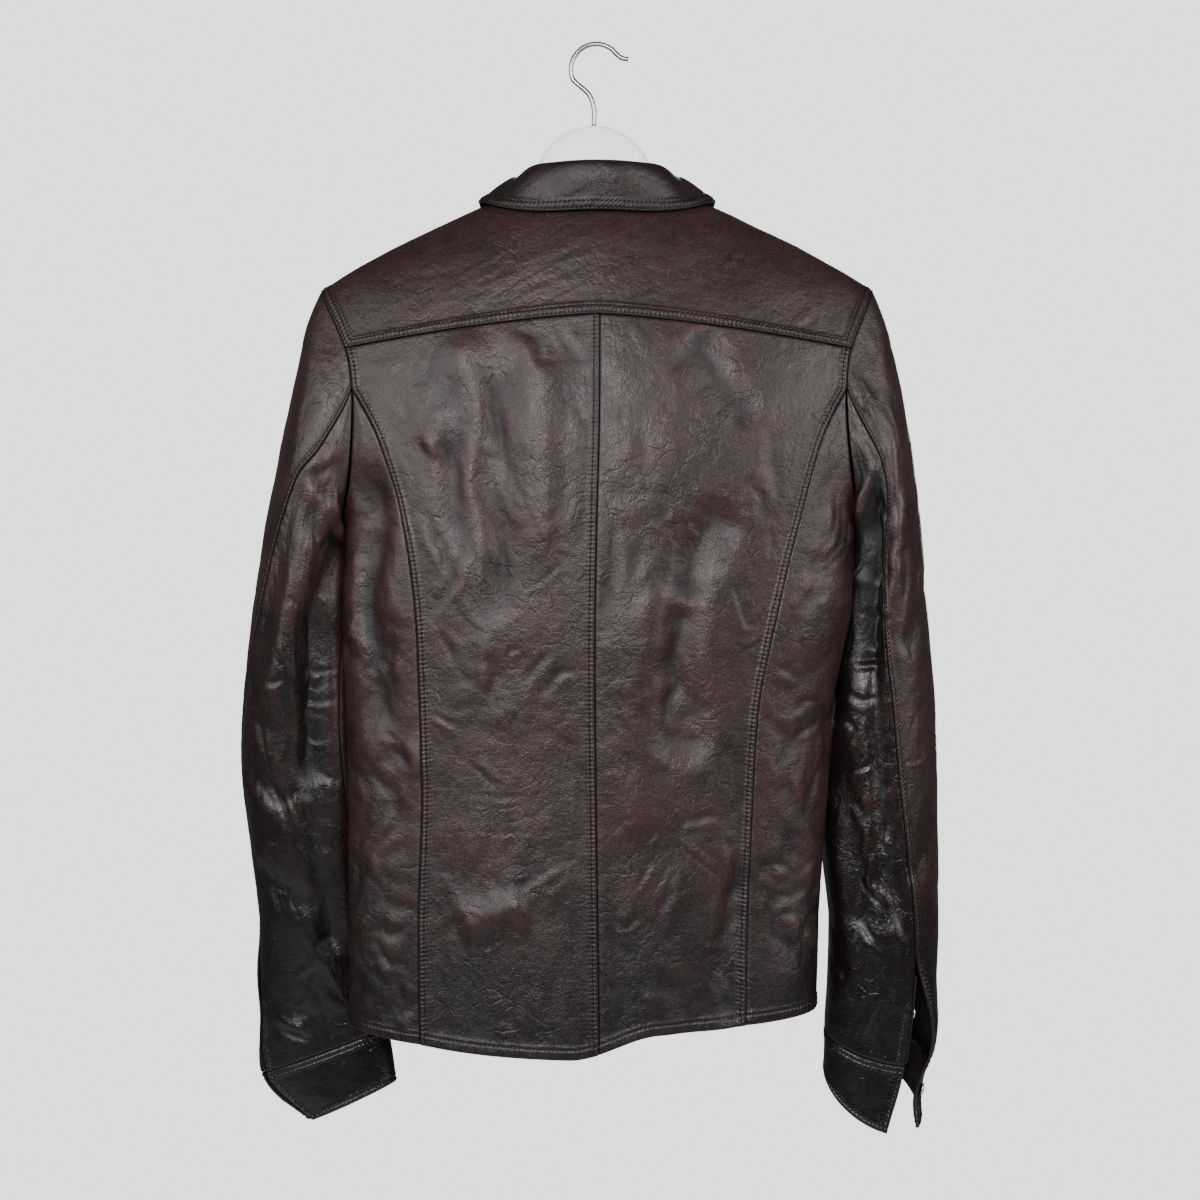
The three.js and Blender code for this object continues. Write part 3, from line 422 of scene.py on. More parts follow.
class JacketColours(PropertyGroup):
    """Colours of the leather, thread, hanger and metal."""

    # Dark end of the leather's blend: the leather's dark tone, painted shade in folds, in the hollow under
    # the right arm and towards the bottom, and dark seams
    leather: FloatVectorProperty(
        name="Leather", description="Leather in its folds", subtype="COLOR", default=(0.0050, 0.0034, 0.0041))
    # Light end of the leather's blend: leather rubbed on its raised parts, where no painted shade falls
    worn: FloatVectorProperty(
        name="Worn Leather", description="Leather rubbed on its raised parts", subtype="COLOR",
        default=(0.0355, 0.0158, 0.0145))
    thread: FloatVectorProperty(
        name="Thread", description="Sewing thread", subtype="COLOR", default=(0.008, 0.005, 0.005))
    hanger: FloatVectorProperty(
        name="Hanger", description="White moulded hanger", subtype="COLOR", default=(0.90, 0.92, 0.92))
    metal: FloatVectorProperty(
        name="Metal", description="Hook wire", subtype="COLOR", default=(0.34, 0.35, 0.36))
    snap: FloatVectorProperty(
        name="Snap", description="Snap caps", subtype="COLOR", default=(0.70, 0.69, 0.66))
    floor: FloatVectorProperty(
        name="Floor", description="Floor and surroundings", subtype="COLOR", default=(0.80, 0.81, 0.80))


def lerp(a, b, t):
    """The value t of the way from a to b."""
    return a + (b - a) * t


def smoothstep(x, low, high):
    """Rises from 0 at low to 1 at high along a cubic."""
    t = np.clip((x - low) / (high - low), 0, 1)
    return t * t * (3 - 2 * t)


def through(pairs):
    """A smooth curve through pairs of position and value: cubics with central differences as slopes."""
    xs = np.array([p[0] for p in pairs], float)
    ys = np.array([p[1] for p in pairs], float)
    ahead = np.minimum(np.arange(len(xs)) + 1, len(xs) - 1)
    behind = np.maximum(np.arange(len(xs)) - 1, 0)
    slopes = (ys[ahead] - ys[behind]) / (xs[ahead] - xs[behind])

    def curve(at):
        at = np.asarray(at, float)
        i = np.clip(np.searchsorted(xs, at, side="left") - 1, 0, len(xs) - 2)
        width = xs[i + 1] - xs[i]
        t = np.clip((at - xs[i]) / width, 0, 1)
        bend = slopes[i] * t * (1 - t) ** 2 - slopes[i + 1] * t * t * (1 - t)
        return lerp(ys[i], ys[i + 1], t * t * (3 - 2 * t)) + bend * width

    return curve


def stack(x, y, z):
    """Points from their three coordinates, spread to one shape."""
    return np.stack(np.broadcast_arrays(x, y, z), axis=-1).astype(float)


def unit(vectors):
    """Vectors scaled to length one."""
    return vectors / np.maximum(np.linalg.norm(vectors, axis=-1, keepdims=True), 1e-9)


half_width = through([(r[0], r[1]) for r in TORSO])
centre_x = through([(r[0], r[2]) for r in TORSO])
back_depth = through([(r[0], r[3]) for r in TORSO])
front_depth = through([(r[0], r[4]) for r in TORSO])
armhole_x = through(ARMHOLE)
princess_x = through(PRINCESS)
centre_back_x = through(CENTRE_BACK)


def ridge_z(x):
    """Height of the shoulder ridge: two slopes with a rounded middle, dropping at the ends."""
    return RIDGE_TOP - RIDGE_SLOPE * np.hypot(x, RIDGE_ROUND) - RIDGE_DROP * (np.abs(x) / SHOULDER_HALF) ** 8


def crown(x, z):
    """Share of the full depth reached below the ridge: a quarter circle of height CROWN."""
    left = 1 - np.clip((ridge_z(x) - z) / CROWN, 0, 1)
    return np.sqrt(1 - left * left)


def roundness(s):
    """Depth of a rounded box section at s of its half width."""
    return np.maximum(0, 1 - np.abs(s) ** SQUARENESS) ** (1 / SQUARENESS)


def torso_point(side, turn, z):
    """A point of the torso's rounded section at z, swept by turn, on side -1 at the back or 1 in front."""
    s = np.sin(turn)
    x = centre_x(z) + half_width(z) * s
    depth = back_depth(z) if side < 0 else front_depth(z)
    return stack(x, side * depth * crown(x, z) * roundness(s), z)


def turn_at(x, z):
    """The turn across the torso that reaches x."""
    return np.arcsin(np.clip((x - centre_x(z)) / half_width(z), -1, 1))


def shoulder_point(x, tilt):
    """A point over the shoulders: a quarter circle down from the ridge by tilt, negative to the back."""
    z = ridge_z(x) - CROWN * (1 - np.cos(tilt))
    depth = np.where(tilt < 0, back_depth(z), front_depth(z))
    return stack(x, depth * np.sin(tilt) * roundness((x - centre_x(z)) / half_width(z)), z)


def shoulder_normal(x, tilt):
    """Outward normal over the shoulders, from differences along and over the ridge."""
    along = shoulder_point(x + 0.5, tilt) - shoulder_point(x - 0.5, tilt)
    over = shoulder_point(x, tilt + 0.001) - shoulder_point(x, tilt - 0.001)
    return unit(np.cross(along, over))


def tilt_at(side, x, z):
    """The tilt over the shoulder that reaches z."""
    return side * np.arccos(np.clip(1 - (ridge_z(x) - z) / CROWN, -1, 1))


def yoke_seam_z(x):
    """The back yoke seam, dipping towards the armholes."""
    return lerp(YOKE_CENTRE_Z, YOKE_CORNER_Z, (np.abs(x) / YOKE_CORNER_X) ** YOKE_BOW)


def hem_z(x):
    """The back hem: a shallow bow, a little higher on the right."""
    return HEM_Z + HEM_CURVE * x * x + HEM_LIFT * smoothstep(x, -20, 45)


def side_hem(hand):
    """Height of the hem at a side seam."""
    return hem_z(centre_x(HEM_Z) + hand * half_width(HEM_Z))


def princess_hem(hand):
    """Height of the hem at a princess seam."""
    return hem_z(centre_x(HEM_Z) + hand * princess_x(HEM_Z))


def arm_turn(hand, z):
    """The turn across the torso at the armhole."""
    return hand * np.arcsin(np.clip(armhole_x(z) / half_width(z), -1, 1))


def princess_turn(hand, z):
    """The turn across the torso at the princess seam."""
    return hand * np.arcsin(princess_x(z) / half_width(z))


def front_hem_z(x):
    """The front hem, between the side seams with a dip in the middle."""
    share = np.clip((x - centre_x(HEM_Z)) / half_width(HEM_Z), -1, 1)
    return lerp(side_hem(-1), side_hem(1), (share + 1) / 2) - FRONT_HEM_DIP * (1 - share * share)


def neck_place(around):
    """x and tilt of the neck seam at an angle from the centre back."""
    size = np.where(np.cos(around) > 0, NECK_BACK, NECK_FRONT)
    return NECK_HALF * np.sin(around), -size * np.cos(around)


def arm_place(hand, side, z):
    """x and tilt of the armhole at a height."""
    x = centre_x(z) + hand * armhole_x(z)
    return x, tilt_at(side, x, z)


# Panels: every one is a function of u, rightwards seen from outside, and v, downwards, both from 0 to 1


def yoke_point(u, v):
    """Lines fan out from the neck seam to the armholes and the back yoke seam."""
    way = u * 28
    climb = [YOKE_FRONT_Z, -208, ARM_TOP_Z, -205, -224, YOKE_CORNER_Z]
    arm_z = np.interp(way, [0, 1, 2, 3, 4, 5, 23, 24, 25, 26, 27, 28], climb + climb[::-1])
    hand = np.where(way < 14, -1, 1)
    front = (way < 2) | (way > 26)
    on_arm = (way < 5) | (way > 23)
    corners = [arm_place(h, -1, YOKE_CORNER_Z)[0] for h in (-1, 1)]
    seam_x = np.interp(way, [5, 14, 23], [corners[0], centre_back_x(YOKE_CENTRE_Z), corners[1]])
    arm_x = centre_x(arm_z) + hand * armhole_x(arm_z)
    x = np.where(on_arm, arm_x, seam_x)
    z = np.where(on_arm, arm_z, yoke_seam_z(seam_x))
    tilt = np.where(front, 1, -1) * tilt_at(1, x, z)
    neck_x, neck_tilt = neck_place(lerp(-YOKE_END, YOKE_END, u))
    return shoulder_point(lerp(neck_x, x, v), lerp(neck_tilt, tilt, v))


def centre_back_point(hand):
    """From the centre seam out to the armhole and princess seam, and from the yoke seam down to the hem."""
    corner = arm_place(hand, -1, YOKE_CORNER_Z)[0]

    def point(u, v):
        c = u if hand > 0 else 1 - u
        x = lerp(centre_back_x(YOKE_CENTRE_Z), corner, c)
        bottom = lerp(centre_back_x(HEM_Z), centre_x(HEM_Z) + hand * princess_x(HEM_Z), c)
        z = lerp(yoke_seam_z(x), hem_z(bottom), v)
        outer = np.where(z > JUNCTION_Z, arm_turn(hand, z), princess_turn(hand, z))
        even = lerp(turn_at(centre_back_x(z), z), outer, c)
        turn = lerp(turn_at(x, z), even, np.maximum(smoothstep(v, 0, 0.08), smoothstep(c, 0.97, 1)))
        return torso_point(-1, turn, z)

    return point


def side_back_point(hand):
    """A point at the armhole widening to the hem between the princess seam and the side seam."""
    def point(u, v):
        c = u if hand > 0 else 1 - u
        inner = lerp(JUNCTION_Z - 2, princess_hem(hand), v)
        outer = lerp(JUNCTION_Z - 1.4, side_hem(hand), v)
        z = lerp(inner, outer, c)
        edge = np.where(z > PIT_Z, arm_turn(hand, z), hand * math.pi / 2)
        return torso_point(-1, lerp(princess_turn(hand, z), edge, c), z)

    return point


def front_surface(hand, x, z):
    """The front of the torso; the right front steps inwards under the left one."""
    turn = turn_at(x, z)
    p = torso_point(1, turn, z)
    step = LAP_STEP * (1 - smoothstep(x, 26, 62)) if hand > 0 else 0 * x
    return p - stack(0 * x, step, 0 * x)


def front_point(hand):
    """From the neck and front yoke seam down to the hem, and from past the middle out to the side seam."""
    lap = -hand * LAP
    neck_end = math.pi + math.asin(LAP / NECK_HALF)

    def point(u, v):
        c = u if hand < 0 else 1 - u
        neck_x, neck_tilt = neck_place(hand * lerp(neck_end, YOKE_END, np.clip(2 * c, 0, 1)))
        end_x, end_tilt = neck_place(hand * YOKE_END)
        arm_x, arm_tilt = arm_place(hand, 1, YOKE_FRONT_Z)
        t = np.clip(2 * c - 1, 0, 1)
        x = np.where(c < 0.5, neck_x, lerp(end_x, arm_x, t))
        tilt = np.where(c < 0.5, neck_tilt, lerp(end_tilt, arm_tilt, t))
        top = shoulder_point(x, tilt)
        bottom = lerp(lap, centre_x(HEM_Z) + hand * half_width(HEM_Z), c)
        z = lerp(top[..., 2], front_hem_z(bottom), v)
        edge = np.where(z > PIT_Z, arm_turn(hand, z), hand * math.pi / 2)
        even = lerp(turn_at(lap, z), edge, c)
        turn = lerp(turn_at(x, z), even, np.maximum(smoothstep(v, 0, 0.3), smoothstep(c, 0.9, 1)))
        return front_surface(hand, centre_x(z) + half_width(z) * np.sin(turn), z)

    return point


def placket_point(u, v):
    """A strip lying on the left front along its edge."""
    top = shoulder_point(*neck_place(np.array(math.pi)))[2] - 6
    z = lerp(top, front_hem_z(0.0) + 3, v)
    x = lerp(LAP - 1, -LAP, u)
    return front_surface(-1, x, z) + stack(0 * x, LEATHER + SURFACE_GAP, 0 * x)


def collar_lines(around):
    """Neck seam, roll line and lower edge of the collar, with the outward way at that edge."""
    size = np.abs(around)
    neck_x, neck_tilt = neck_place(around)
    neck = shoulder_point(neck_x, neck_tilt)
    rise = lerp(STAND_BACK, STAND_SIDE, smoothstep(size, 0.5, 1.4))
    lean = lerp(-9, 17, smoothstep(size, 0.1, 1.3)) * (1 - smoothstep(size, 1.9, 2.9))
    roll = neck + stack(-np.sin(around) * lean, np.cos(around) * lean, rise)
    past = np.clip((size - math.pi / 2) / (COLLAR_END - math.pi / 2), 0, 1)
    side = np.sign(around) * lerp(FALL_HALF, FALL_POINT_X, past ** 1.6)
    x = np.where(past > 0, side, FALL_HALF * np.sin(around))
    tilt = np.where(past > 0, FALL_POINT * np.sin(past * math.pi / 2), -FALL_BACK * np.cos(around))
    out = shoulder_normal(x, tilt)
    return neck, roll, shoulder_point(x, tilt) + FALL_LIFT * out, out


def fall_point(u, v):
    """The collar's fall: straight from roll to edge with a bulge along the outward way."""
    around = lerp(-COLLAR_END, COLLAR_END, u)
    v = lerp(0.02, 1, v)
    _, roll, edge, out = collar_lines(around)
    size = np.abs(around)
    flat = smoothstep(size, 0.6, 1.1) * (1 - smoothstep(size, 1.55, 1.9))
    bulge = lerp(5, 1.5, flat) * np.sin(math.pi * v ** 0.6)
    return lerp(roll, edge, v[..., None]) + out * bulge[..., None]


def stand_point(u, v):
    """The collar's stand: straight from just under the roll line down to the neck seam."""
    around = lerp(-COLLAR_END, COLLAR_END, u)
    neck, roll, _, _ = collar_lines(around)
    foot = neck + [0, 0, 3 * SURFACE_GAP]
    return lerp(roll - [0, 0, LEATHER + 2], foot, v[..., None])


def around_at(z):
    """Place around the armhole at a height of its back half."""
    return math.acos(2 * (z - PIT_Z) / (ARM_TOP_Z - PIT_Z) - 1)


BACK_SEAM = around_at(JUNCTION_Z)
FRONT_SEAM = 2 * math.pi - around_at(FRONT_SEAM_Z)
FULL = 2 * math.pi


def armhole_at(hand, around):
    """The armhole as a closed seam: zero at the shoulder, a quarter turn at the back."""
    z = lerp(PIT_Z, ARM_TOP_Z, (np.cos(around) + 1) / 2)
    turn = arm_turn(hand, z)
    p = np.where((np.sin(around) > 0)[..., None], torso_point(-1, turn, z), torso_point(1, turn, z))
    return p + [hand * ARMHOLE_GAP, 0, 0]


class Sleeve:
    """One sleeve as oval rings from the armhole to the cuff."""

    def __init__(self, hand, sections, folds):
        self.hand = hand
        self.folds = folds
        self.cuff = len(sections) - 2
        lanes = [through([(i, row[k]) for i, row in enumerate(sections)]) for k in range(10)]
        self.out_x, self.out_z, self.in_x, self.in_z, self.depth, self.middle = lanes[:6]
        self.back_seam, self.front_seam, self.vent, self.droop = lanes[6:]

    def angle(self, around, s):
        """Angle on the ring: the under sleeve spans back seam to front seam, the upper sleeve the rest."""
        back = np.radians(self.back_seam(s))
        fore = np.radians(self.front_seam(s))
        part = np.radians(np.maximum(0, self.vent(s)))
        under = lerp(back + part, fore, (around - BACK_SEAM) / (FRONT_SEAM - BACK_SEAM))
        past = np.where(around < BACK_SEAM, around + FULL, around)
        upper = lerp(fore, back - part + FULL, (past - FRONT_SEAM) / (FULL - FRONT_SEAM + BACK_SEAM))
        return np.where((around >= BACK_SEAM) & (around <= FRONT_SEAM), under, upper)

    def ring(self, angle, s):
        """An oval between the outer and inner points, deepened in y and drooping at the back."""
        x = lerp(self.in_x(s), self.out_x(s), (1 + np.cos(angle)) / 2)
        z = lerp(self.in_z(s), self.out_z(s), (1 + np.cos(angle)) / 2)
        deep = np.sin(angle)
        return stack(self.hand * x, self.middle(s) - self.depth(s) * deep, z - self.droop(s) * deep)

    def base(self, around, s):
        """The ring, drawn to the armhole seam over its first three sections."""
        start = np.zeros_like(s)
        seam = armhole_at(self.hand, around) - self.ring(self.angle(around, start), start)
        return self.ring(self.angle(around, s), s) + seam * (1 - smoothstep(s, 0, 3))[..., None]

    def skin(self, around, s):
        """Point and normal of the sleeve with its largest folds raised along the normal."""
        across = self.base(around + 0.01, s) - self.base(around - 0.01, s)
        down = self.base(around, s + 0.02) - self.base(around, np.maximum(s - 0.02, 0))
        out = unit(-self.hand * np.cross(down, across))
        return self.base(around, s) + out * self.fold_rise(around, s)[..., None], out

    def fold_rise(self, around, s):
        """Height of the largest folds by angle and ring."""
        angle = np.degrees(self.angle(around, s)) % 360
        return fold_height(self.folds, angle, s, DEGREE_WIDTH, RING_LENGTH) * smoothstep(s, 0.4, 1.4)

    def panel(self, start, end):
        """A panel between two places around the armhole, from the armhole down to the cuff seam."""
        def place(u, v):
            way = 1 - u if self.hand > 0 else u
            return lerp(start, end, way), v * self.cuff

        def point(u, v):
            return self.base(*place(u, v))

        return point, place

    def cuff_band(self):
        """A band below the sleeve, open at the vent."""
        def place(u, v):
            way = 1 - u if self.hand > 0 else u
            return lerp(BACK_SEAM + 1e-6, BACK_SEAM + FULL - 1e-6, way), self.cuff + v + SEAM_GAP / 40

        def point(u, v):
            around, s = place(u, v)
            return self.ring(self.angle(around, s), s)

        return point, place

    def vent_facing(self, u, v):
        """A facing that stands on the under sleeve's edge along the vent and turns inwards."""
        s = self.cuff - lerp(0.85, 0.03, v)
        depth = FACING_DEPTH * (u if self.hand > 0 else 1 - u)
        edge, out = self.skin(np.full_like(s, BACK_SEAM + 1e-6), s)
        beside, _ = self.skin(np.full_like(s, BACK_SEAM + 0.04), s)
        return edge + unit(edge - beside) * FACING_OFF - out * depth[..., None]


RIGHT = Sleeve(1, SLEEVE_RIGHT, RIGHT_FOLDS)
LEFT = Sleeve(-1, SLEEVE_LEFT, LEFT_FOLDS)


# Relief of the leather


def noise(a, b, seed):
    """Gradient noise: random slopes at whole places, blended by a quintic, about -1 to 1."""
    ia, ib = np.floor(a), np.floor(b)
    fa, fb = a - ia, b - ib

    def corner(da, db):
        mixed = np.sin((ia + da) * 127.1 + (ib + db) * 311.7 + seed * 74.7) * 43758.5453
        way = (mixed - np.floor(mixed)) * FULL
        return np.cos(way) * (fa - da) + np.sin(way) * (fb - db)

    ta = fa ** 3 * (fa * (fa * 6 - 15) + 10)
    tb = fb ** 3 * (fb * (fb * 6 - 15) + 10)
    return 1.5 * lerp(lerp(corner(0, 0), corner(1, 0), ta), lerp(corner(0, 1), corner(1, 1), ta), tb)


def fold_height(folds, u, v, scale_u=1, scale_v=1):
    """Soft ridges along segments, fading at both ends."""
    height = np.zeros_like(u)
    for u0, v0, u1, v1, width, size in folds:
        along = ((u1 - u0) * scale_u, (v1 - v0) * scale_v)
        away_u, away_v = (u - u0) * scale_u, (v - v0) * scale_v
        t = (away_u * along[0] + away_v * along[1]) / (along[0] ** 2 + along[1] ** 2)
        near = np.clip(t, 0, 1)
        side = np.hypot(away_u - near * along[0], away_v - near * along[1]) / width
        ends = smoothstep(t, -0.1, 0.15) * (1 - smoothstep(t, 0.85, 1.1))
        height += size * ends * np.exp(-side * side)
    return height


# Creases: strength of them all, how far noise bends them and over what length
CREASE_DEPTH = 0.75
CREASE_BEND = 3.2
BEND_LENGTH = 21


def crease_height(creases, x, z):
    """Creases along lines of points, bent by noise: a trough with one side rolled up, thin at both ends."""
    height = np.zeros_like(x)
    a, b = x / BEND_LENGTH, z / BEND_LENGTH
    x, z = x + CREASE_BEND * noise(a, b, 201), z + CREASE_BEND * noise(a, b, 202)
    uneven = 1 + 0.45 * noise(x / 17, z / 17, 203)
    for points, width, depth, roll in creases:
        points = np.array(points, float)
        lengths = np.linalg.norm(np.diff(points, axis=0), axis=1)
        starts = np.concatenate([[0], np.cumsum(lengths)])
        best = np.full_like(x, 1e9)
        side = np.zeros_like(x)
        way = np.zeros_like(x)
        for (x0, z0), (x1, z1), start, length in zip(points[:-1], points[1:], starts, lengths):
            ax, az = (x1 - x0) / length, (z1 - z0) / length
            t = np.clip((x - x0) * ax + (z - z0) * az, 0, length)
            off_x, off_z = x - x0 - t * ax, z - z0 - t * az
            off = np.hypot(off_x, off_z)
            closer = off < best
            best = np.where(closer, off, best)
            side = np.where(closer, np.sign(off_x * az - off_z * ax) * off, side)
            way = np.where(closer, (start + t) / starts[-1], way)
        ends = smoothstep(way, 0, 0.45) * (1 - smoothstep(way, 0.55, 1))
        trough = np.exp(-np.abs(best / width) ** 1.7)
        lip = np.exp(-((side * np.sign(roll) - 1.9 * width) / (1.5 * width)) ** 2) * abs(roll)
        height += CREASE_DEPTH * depth * ends * (lip - trough)
    return height * uneven


def crinkle(a, b, seed, strength):
    """Wrinkles: noises of four sizes, the middle two folded at zero so that puffs meet in sharp creases."""
    wa = a + 14 * noise(a / 61, b / 61, seed + 1)
    wb = b + 14 * noise(a / 61, b / 61, seed + 2)
    broad = noise(a / 95, b / 130, seed + 3)
    large = np.sqrt(noise(wa / 46, wb / 68, seed + 4) ** 2 + 0.0015) - 0.3
    small = np.sqrt(noise(wa / 19, wb / 27, seed + 5) ** 2 + 0.002) - 0.3
    tiny = noise(wa / 8, wb / 10, seed + 6)
    patch = 0.35 + 0.65 * smoothstep(noise(a / 85, b / 85, seed + 7), -0.45, 0.5)
    return strength * (1.1 * broad + patch * (1.4 * large + 0.72 * small + 0.13 * tiny))


class Edge:
    """How one edge of a panel is sewn: stitch rows, welt, drop at its end, puckers, depth of its turning."""

    def __init__(self, rows=(), welt=0.0, drop=0.9, pucker=0.25, seed=0, reach=1e4, turned=0.0):
        self.rows, self.welt, self.drop, self.pucker, self.seed = rows, welt, drop, pucker, seed
        self.reach, self.turned = reach, turned

    def sewn(self, along):
        """One over the last stretch of the edge that carries its stitch rows, else zero."""
        return smoothstep(along, along.max() - self.reach - 3, along.max() - self.reach + 3)

    def height(self, away, along):
        """Welts between the seam and its stitch rows, grooves at the rows, puckers, and a rounded end."""
        last = max(self.rows) if self.rows else 0
        h = self.welt * (1 - smoothstep(away, last + 0.6, last + 3.4))
        for row in self.rows:
            h = h - np.exp(-(((away - row) / 0.62) ** 2))
        h = h * self.sewn(along) - self.drop * np.exp(-((away / 0.9) ** 2))
        ticks = noise(along / 3.7, away / 16, self.seed + 21)
        ticks = ticks + 0.7 * noise(along / 7.9, away / 26, self.seed + 22)
        fade = np.exp(-np.maximum(away - last, 0) / 8) * smoothstep(away, 0, 1.5)
        patch = 0.55 + 0.45 * noise(along / 45, 0 * along, self.seed + 23)
        rope = noise(along / 2.9, away / 9, self.seed + 24) * (1 - smoothstep(away, last, last + 1))
        return h + self.pucker * (ticks * fade * patch + 0.7 * rope * smoothstep(away, 0.4, 1.4))

    def shade(self, away, along):
        """Dirt that darkens the seam and every stitch row."""
        dark = np.exp(-((away / 0.8) ** 2))
        for row in self.rows:
            dark = dark + self.sewn(along) * np.exp(-(((away - row) / 0.6) ** 2))
        return dark


PLAIN = Edge()

# Distances of the grid lines inside a stitched edge and inside a plain one
SEWN_LINES = np.array([0, 0.4, 1.0, 1.9, 2.9, 3.6, 4.2, 4.8, 5.8, 6.9, 8.0, 9.2, 10.8])
PLAIN_LINES = np.array([0, 0.5, 1.3, 2.6, 4.8, 7.6, 10.8])
SAMPLES = 81


def lay(point, spacing, edges):
    """A grid of u and v with lines at set distances inside all four edges and even spacing between them."""
    lines = [SEWN_LINES if edge is not None and edge.rows else PLAIN_LINES for edge in edges]
    samples = np.linspace(0, 1, SAMPLES)
    rough = point(*np.meshgrid(samples, samples))

    def spread_out(lengths, first, last):
        inner = max(int((lengths.max() - 2 * first[-1]) / spacing), 2)
        scale = np.minimum(1, lengths / (4 * first[-1]))[:, None]
        middle = np.linspace(0, 1, inner + 1)[1:-1]
        low = first[-1] * scale
        between = lerp(low, lengths[:, None] - low, middle[None, :])
        return np.concatenate([first * scale, between, lengths[:, None] - last[::-1] * scale], axis=1)

    across = np.linalg.norm(np.diff(rough, axis=1), axis=-1)
    run = np.concatenate([np.zeros((SAMPLES, 1)), np.cumsum(across, axis=1)], axis=1)
    down = np.linalg.norm(np.diff(rough, axis=0), axis=-1)
    fall = np.concatenate([np.zeros((1, SAMPLES)), np.cumsum(down, axis=0)], axis=0)
    columns = spread_out(run[:, -1], lines[0], lines[1])
    rows = spread_out(fall[-1], lines[2], lines[3])
    u_rough = np.stack([np.interp(c, r, samples) for c, r in zip(columns, run)])
    v_rough = np.stack([np.interp(c, f, samples) for c, f in zip(rows, fall.T)], axis=1)
    mean_v = v_rough.mean(axis=1)
    u = np.stack([np.interp(mean_v, samples, col) for col in u_rough.T], axis=1)
    mean_u = u.mean(axis=0)
    v = np.stack([np.interp(mean_u, samples, row) for row in v_rough], axis=0)
    return u, v


def measure(points):
    """Distances of every grid point from the left, right, top and bottom edges, along the grid."""
    across = np.linalg.norm(np.diff(points, axis=1), axis=-1)
    left = np.concatenate([np.zeros((points.shape[0], 1)), np.cumsum(across, axis=1)], axis=1)
    down = np.linalg.norm(np.diff(points, axis=0), axis=-1)
    top = np.concatenate([np.zeros((1, points.shape[1])), np.cumsum(down, axis=0)], axis=0)
    return left, left[:, -1:] - left, top, top[-1:] - top


def normals(points):
    """Outward normals of a grid: down crossed with across."""
    return unit(np.cross(np.gradient(points, axis=0), np.gradient(points, axis=1)))


def grid_area(points):
    """Area of a grid's quads, from the cross products of their diagonals."""
    one = points[1:, 1:] - points[:-1, :-1]
    two = points[1:, :-1] - points[:-1, 1:]
    return 0.5 * np.linalg.norm(np.cross(one, two), axis=-1).sum()


def every_other(count):
    """Every second index, with the last one kept."""
    return np.unique(np.append(np.arange(0, count, 2), count - 1))


def shell(outer, inner):
    """A closed wall: the outer grid, every second line of the inner grid, and rims along the four edges."""
    rows, cols = outer.shape[:2]
    keep_rows, keep_cols = every_other(rows), every_other(cols)
    index = np.arange(rows * cols).reshape(rows, cols)
    behind = rows * cols + np.arange(len(keep_rows) * len(keep_cols)).reshape(len(keep_rows), len(keep_cols))
    front = np.stack([index[:-1, :-1], index[1:, :-1], index[1:, 1:], index[:-1, 1:]], axis=-1)
    back = np.stack([behind[:-1, :-1], behind[:-1, 1:], behind[1:, 1:], behind[1:, :-1]], axis=-1)
    rims = []
    for edge, wall, keep, forwards in (
            (index[:, 0], behind[:, 0], keep_rows, False), (index[:, -1], behind[:, -1], keep_rows, True),
            (index[0], behind[0], keep_cols, True), (index[-1], behind[-1], keep_cols, False)):
        for k in range(len(keep) - 1):
            face = [*edge[keep[k]:keep[k + 1] + 1], wall[k + 1], wall[k]]
            rims.append(face if forwards else face[::-1])
    points = np.concatenate([outer.reshape(-1, 3), inner[np.ix_(keep_rows, keep_cols)].reshape(-1, 3)])
    return points, front.reshape(-1, 4).tolist() + back.reshape(-1, 4).tolist() + rims


def put_mesh(name, points, faces, material, **attributes):
    """A smooth mesh at the origin from points in millimetres, with attributes of one number a point."""
    mesh = bpy.data.meshes.new(name)
    mesh.from_pydata(points * MM, [], faces)
    for key, values in attributes.items():
        layer = mesh.attributes.new(key, "FLOAT", "POINT")
        layer.data.foreach_set("value", np.ascontiguousarray(values, np.float32))
    mesh.update()
    mesh.shade_smooth()
    mesh.materials.append(material)
    piece = bpy.data.objects.new(name, mesh)
    bpy.context.scene.collection.objects.link(piece)
    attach(piece, "root")
    return piece


# Stitch rows and turned-in edges that the panels leave for their own operators
STITCHES = []
TURNINGS = []


def take_row(points, out, away, row, axis, sewn):
    """Keeps a stitch row: the points of a panel that lie a set distance inside one edge."""
    lines = away if axis == 1 else away.T
    spots = points if axis == 1 else points.transpose(1, 0, 2)
    ways = out if axis == 1 else out.transpose(1, 0, 2)
    order = 1 if lines[0, 0] < lines[0, -1] else -1
    lines, spots, ways = lines[:, ::order], spots[:, ::order], ways[:, ::order]
    last = np.clip((lines < row).sum(axis=1), 1, lines.shape[1] - 1)
    pick = np.arange(len(lines))
    low, high = lines[pick, last - 1], lines[pick, last]
    t = np.clip((row - low) / np.maximum(high - low, 1e-6), 0, 1)[:, None]
    wide = (lines.max(axis=1) > 2.5 * row) & (sewn.mean(axis=axis) > 0.5)
    line = lerp(spots[pick, last - 1], spots[pick, last], t)[wide]
    way = ways[pick, last][wide]
    if len(line) > 3:
        STITCHES.append((line, way))


def take_turning(points, out, left, depth):
    """Keeps the turned-in edge of a top seam: a strip across the edge, a set depth below the surface."""
    beyond = unit(points[0] - points[4])
    reach = np.array(TURNING_REACH)[:, None, None]
    keep = (left[0] > TURNING_TRIM) & (left[0, -1] - left[0] > TURNING_TRIM)
    strip = (points[0] + beyond * reach - out[0] * depth)[:, keep]
    TURNINGS.append((strip, strip - TURNING_LEATHER * out[0][keep]))


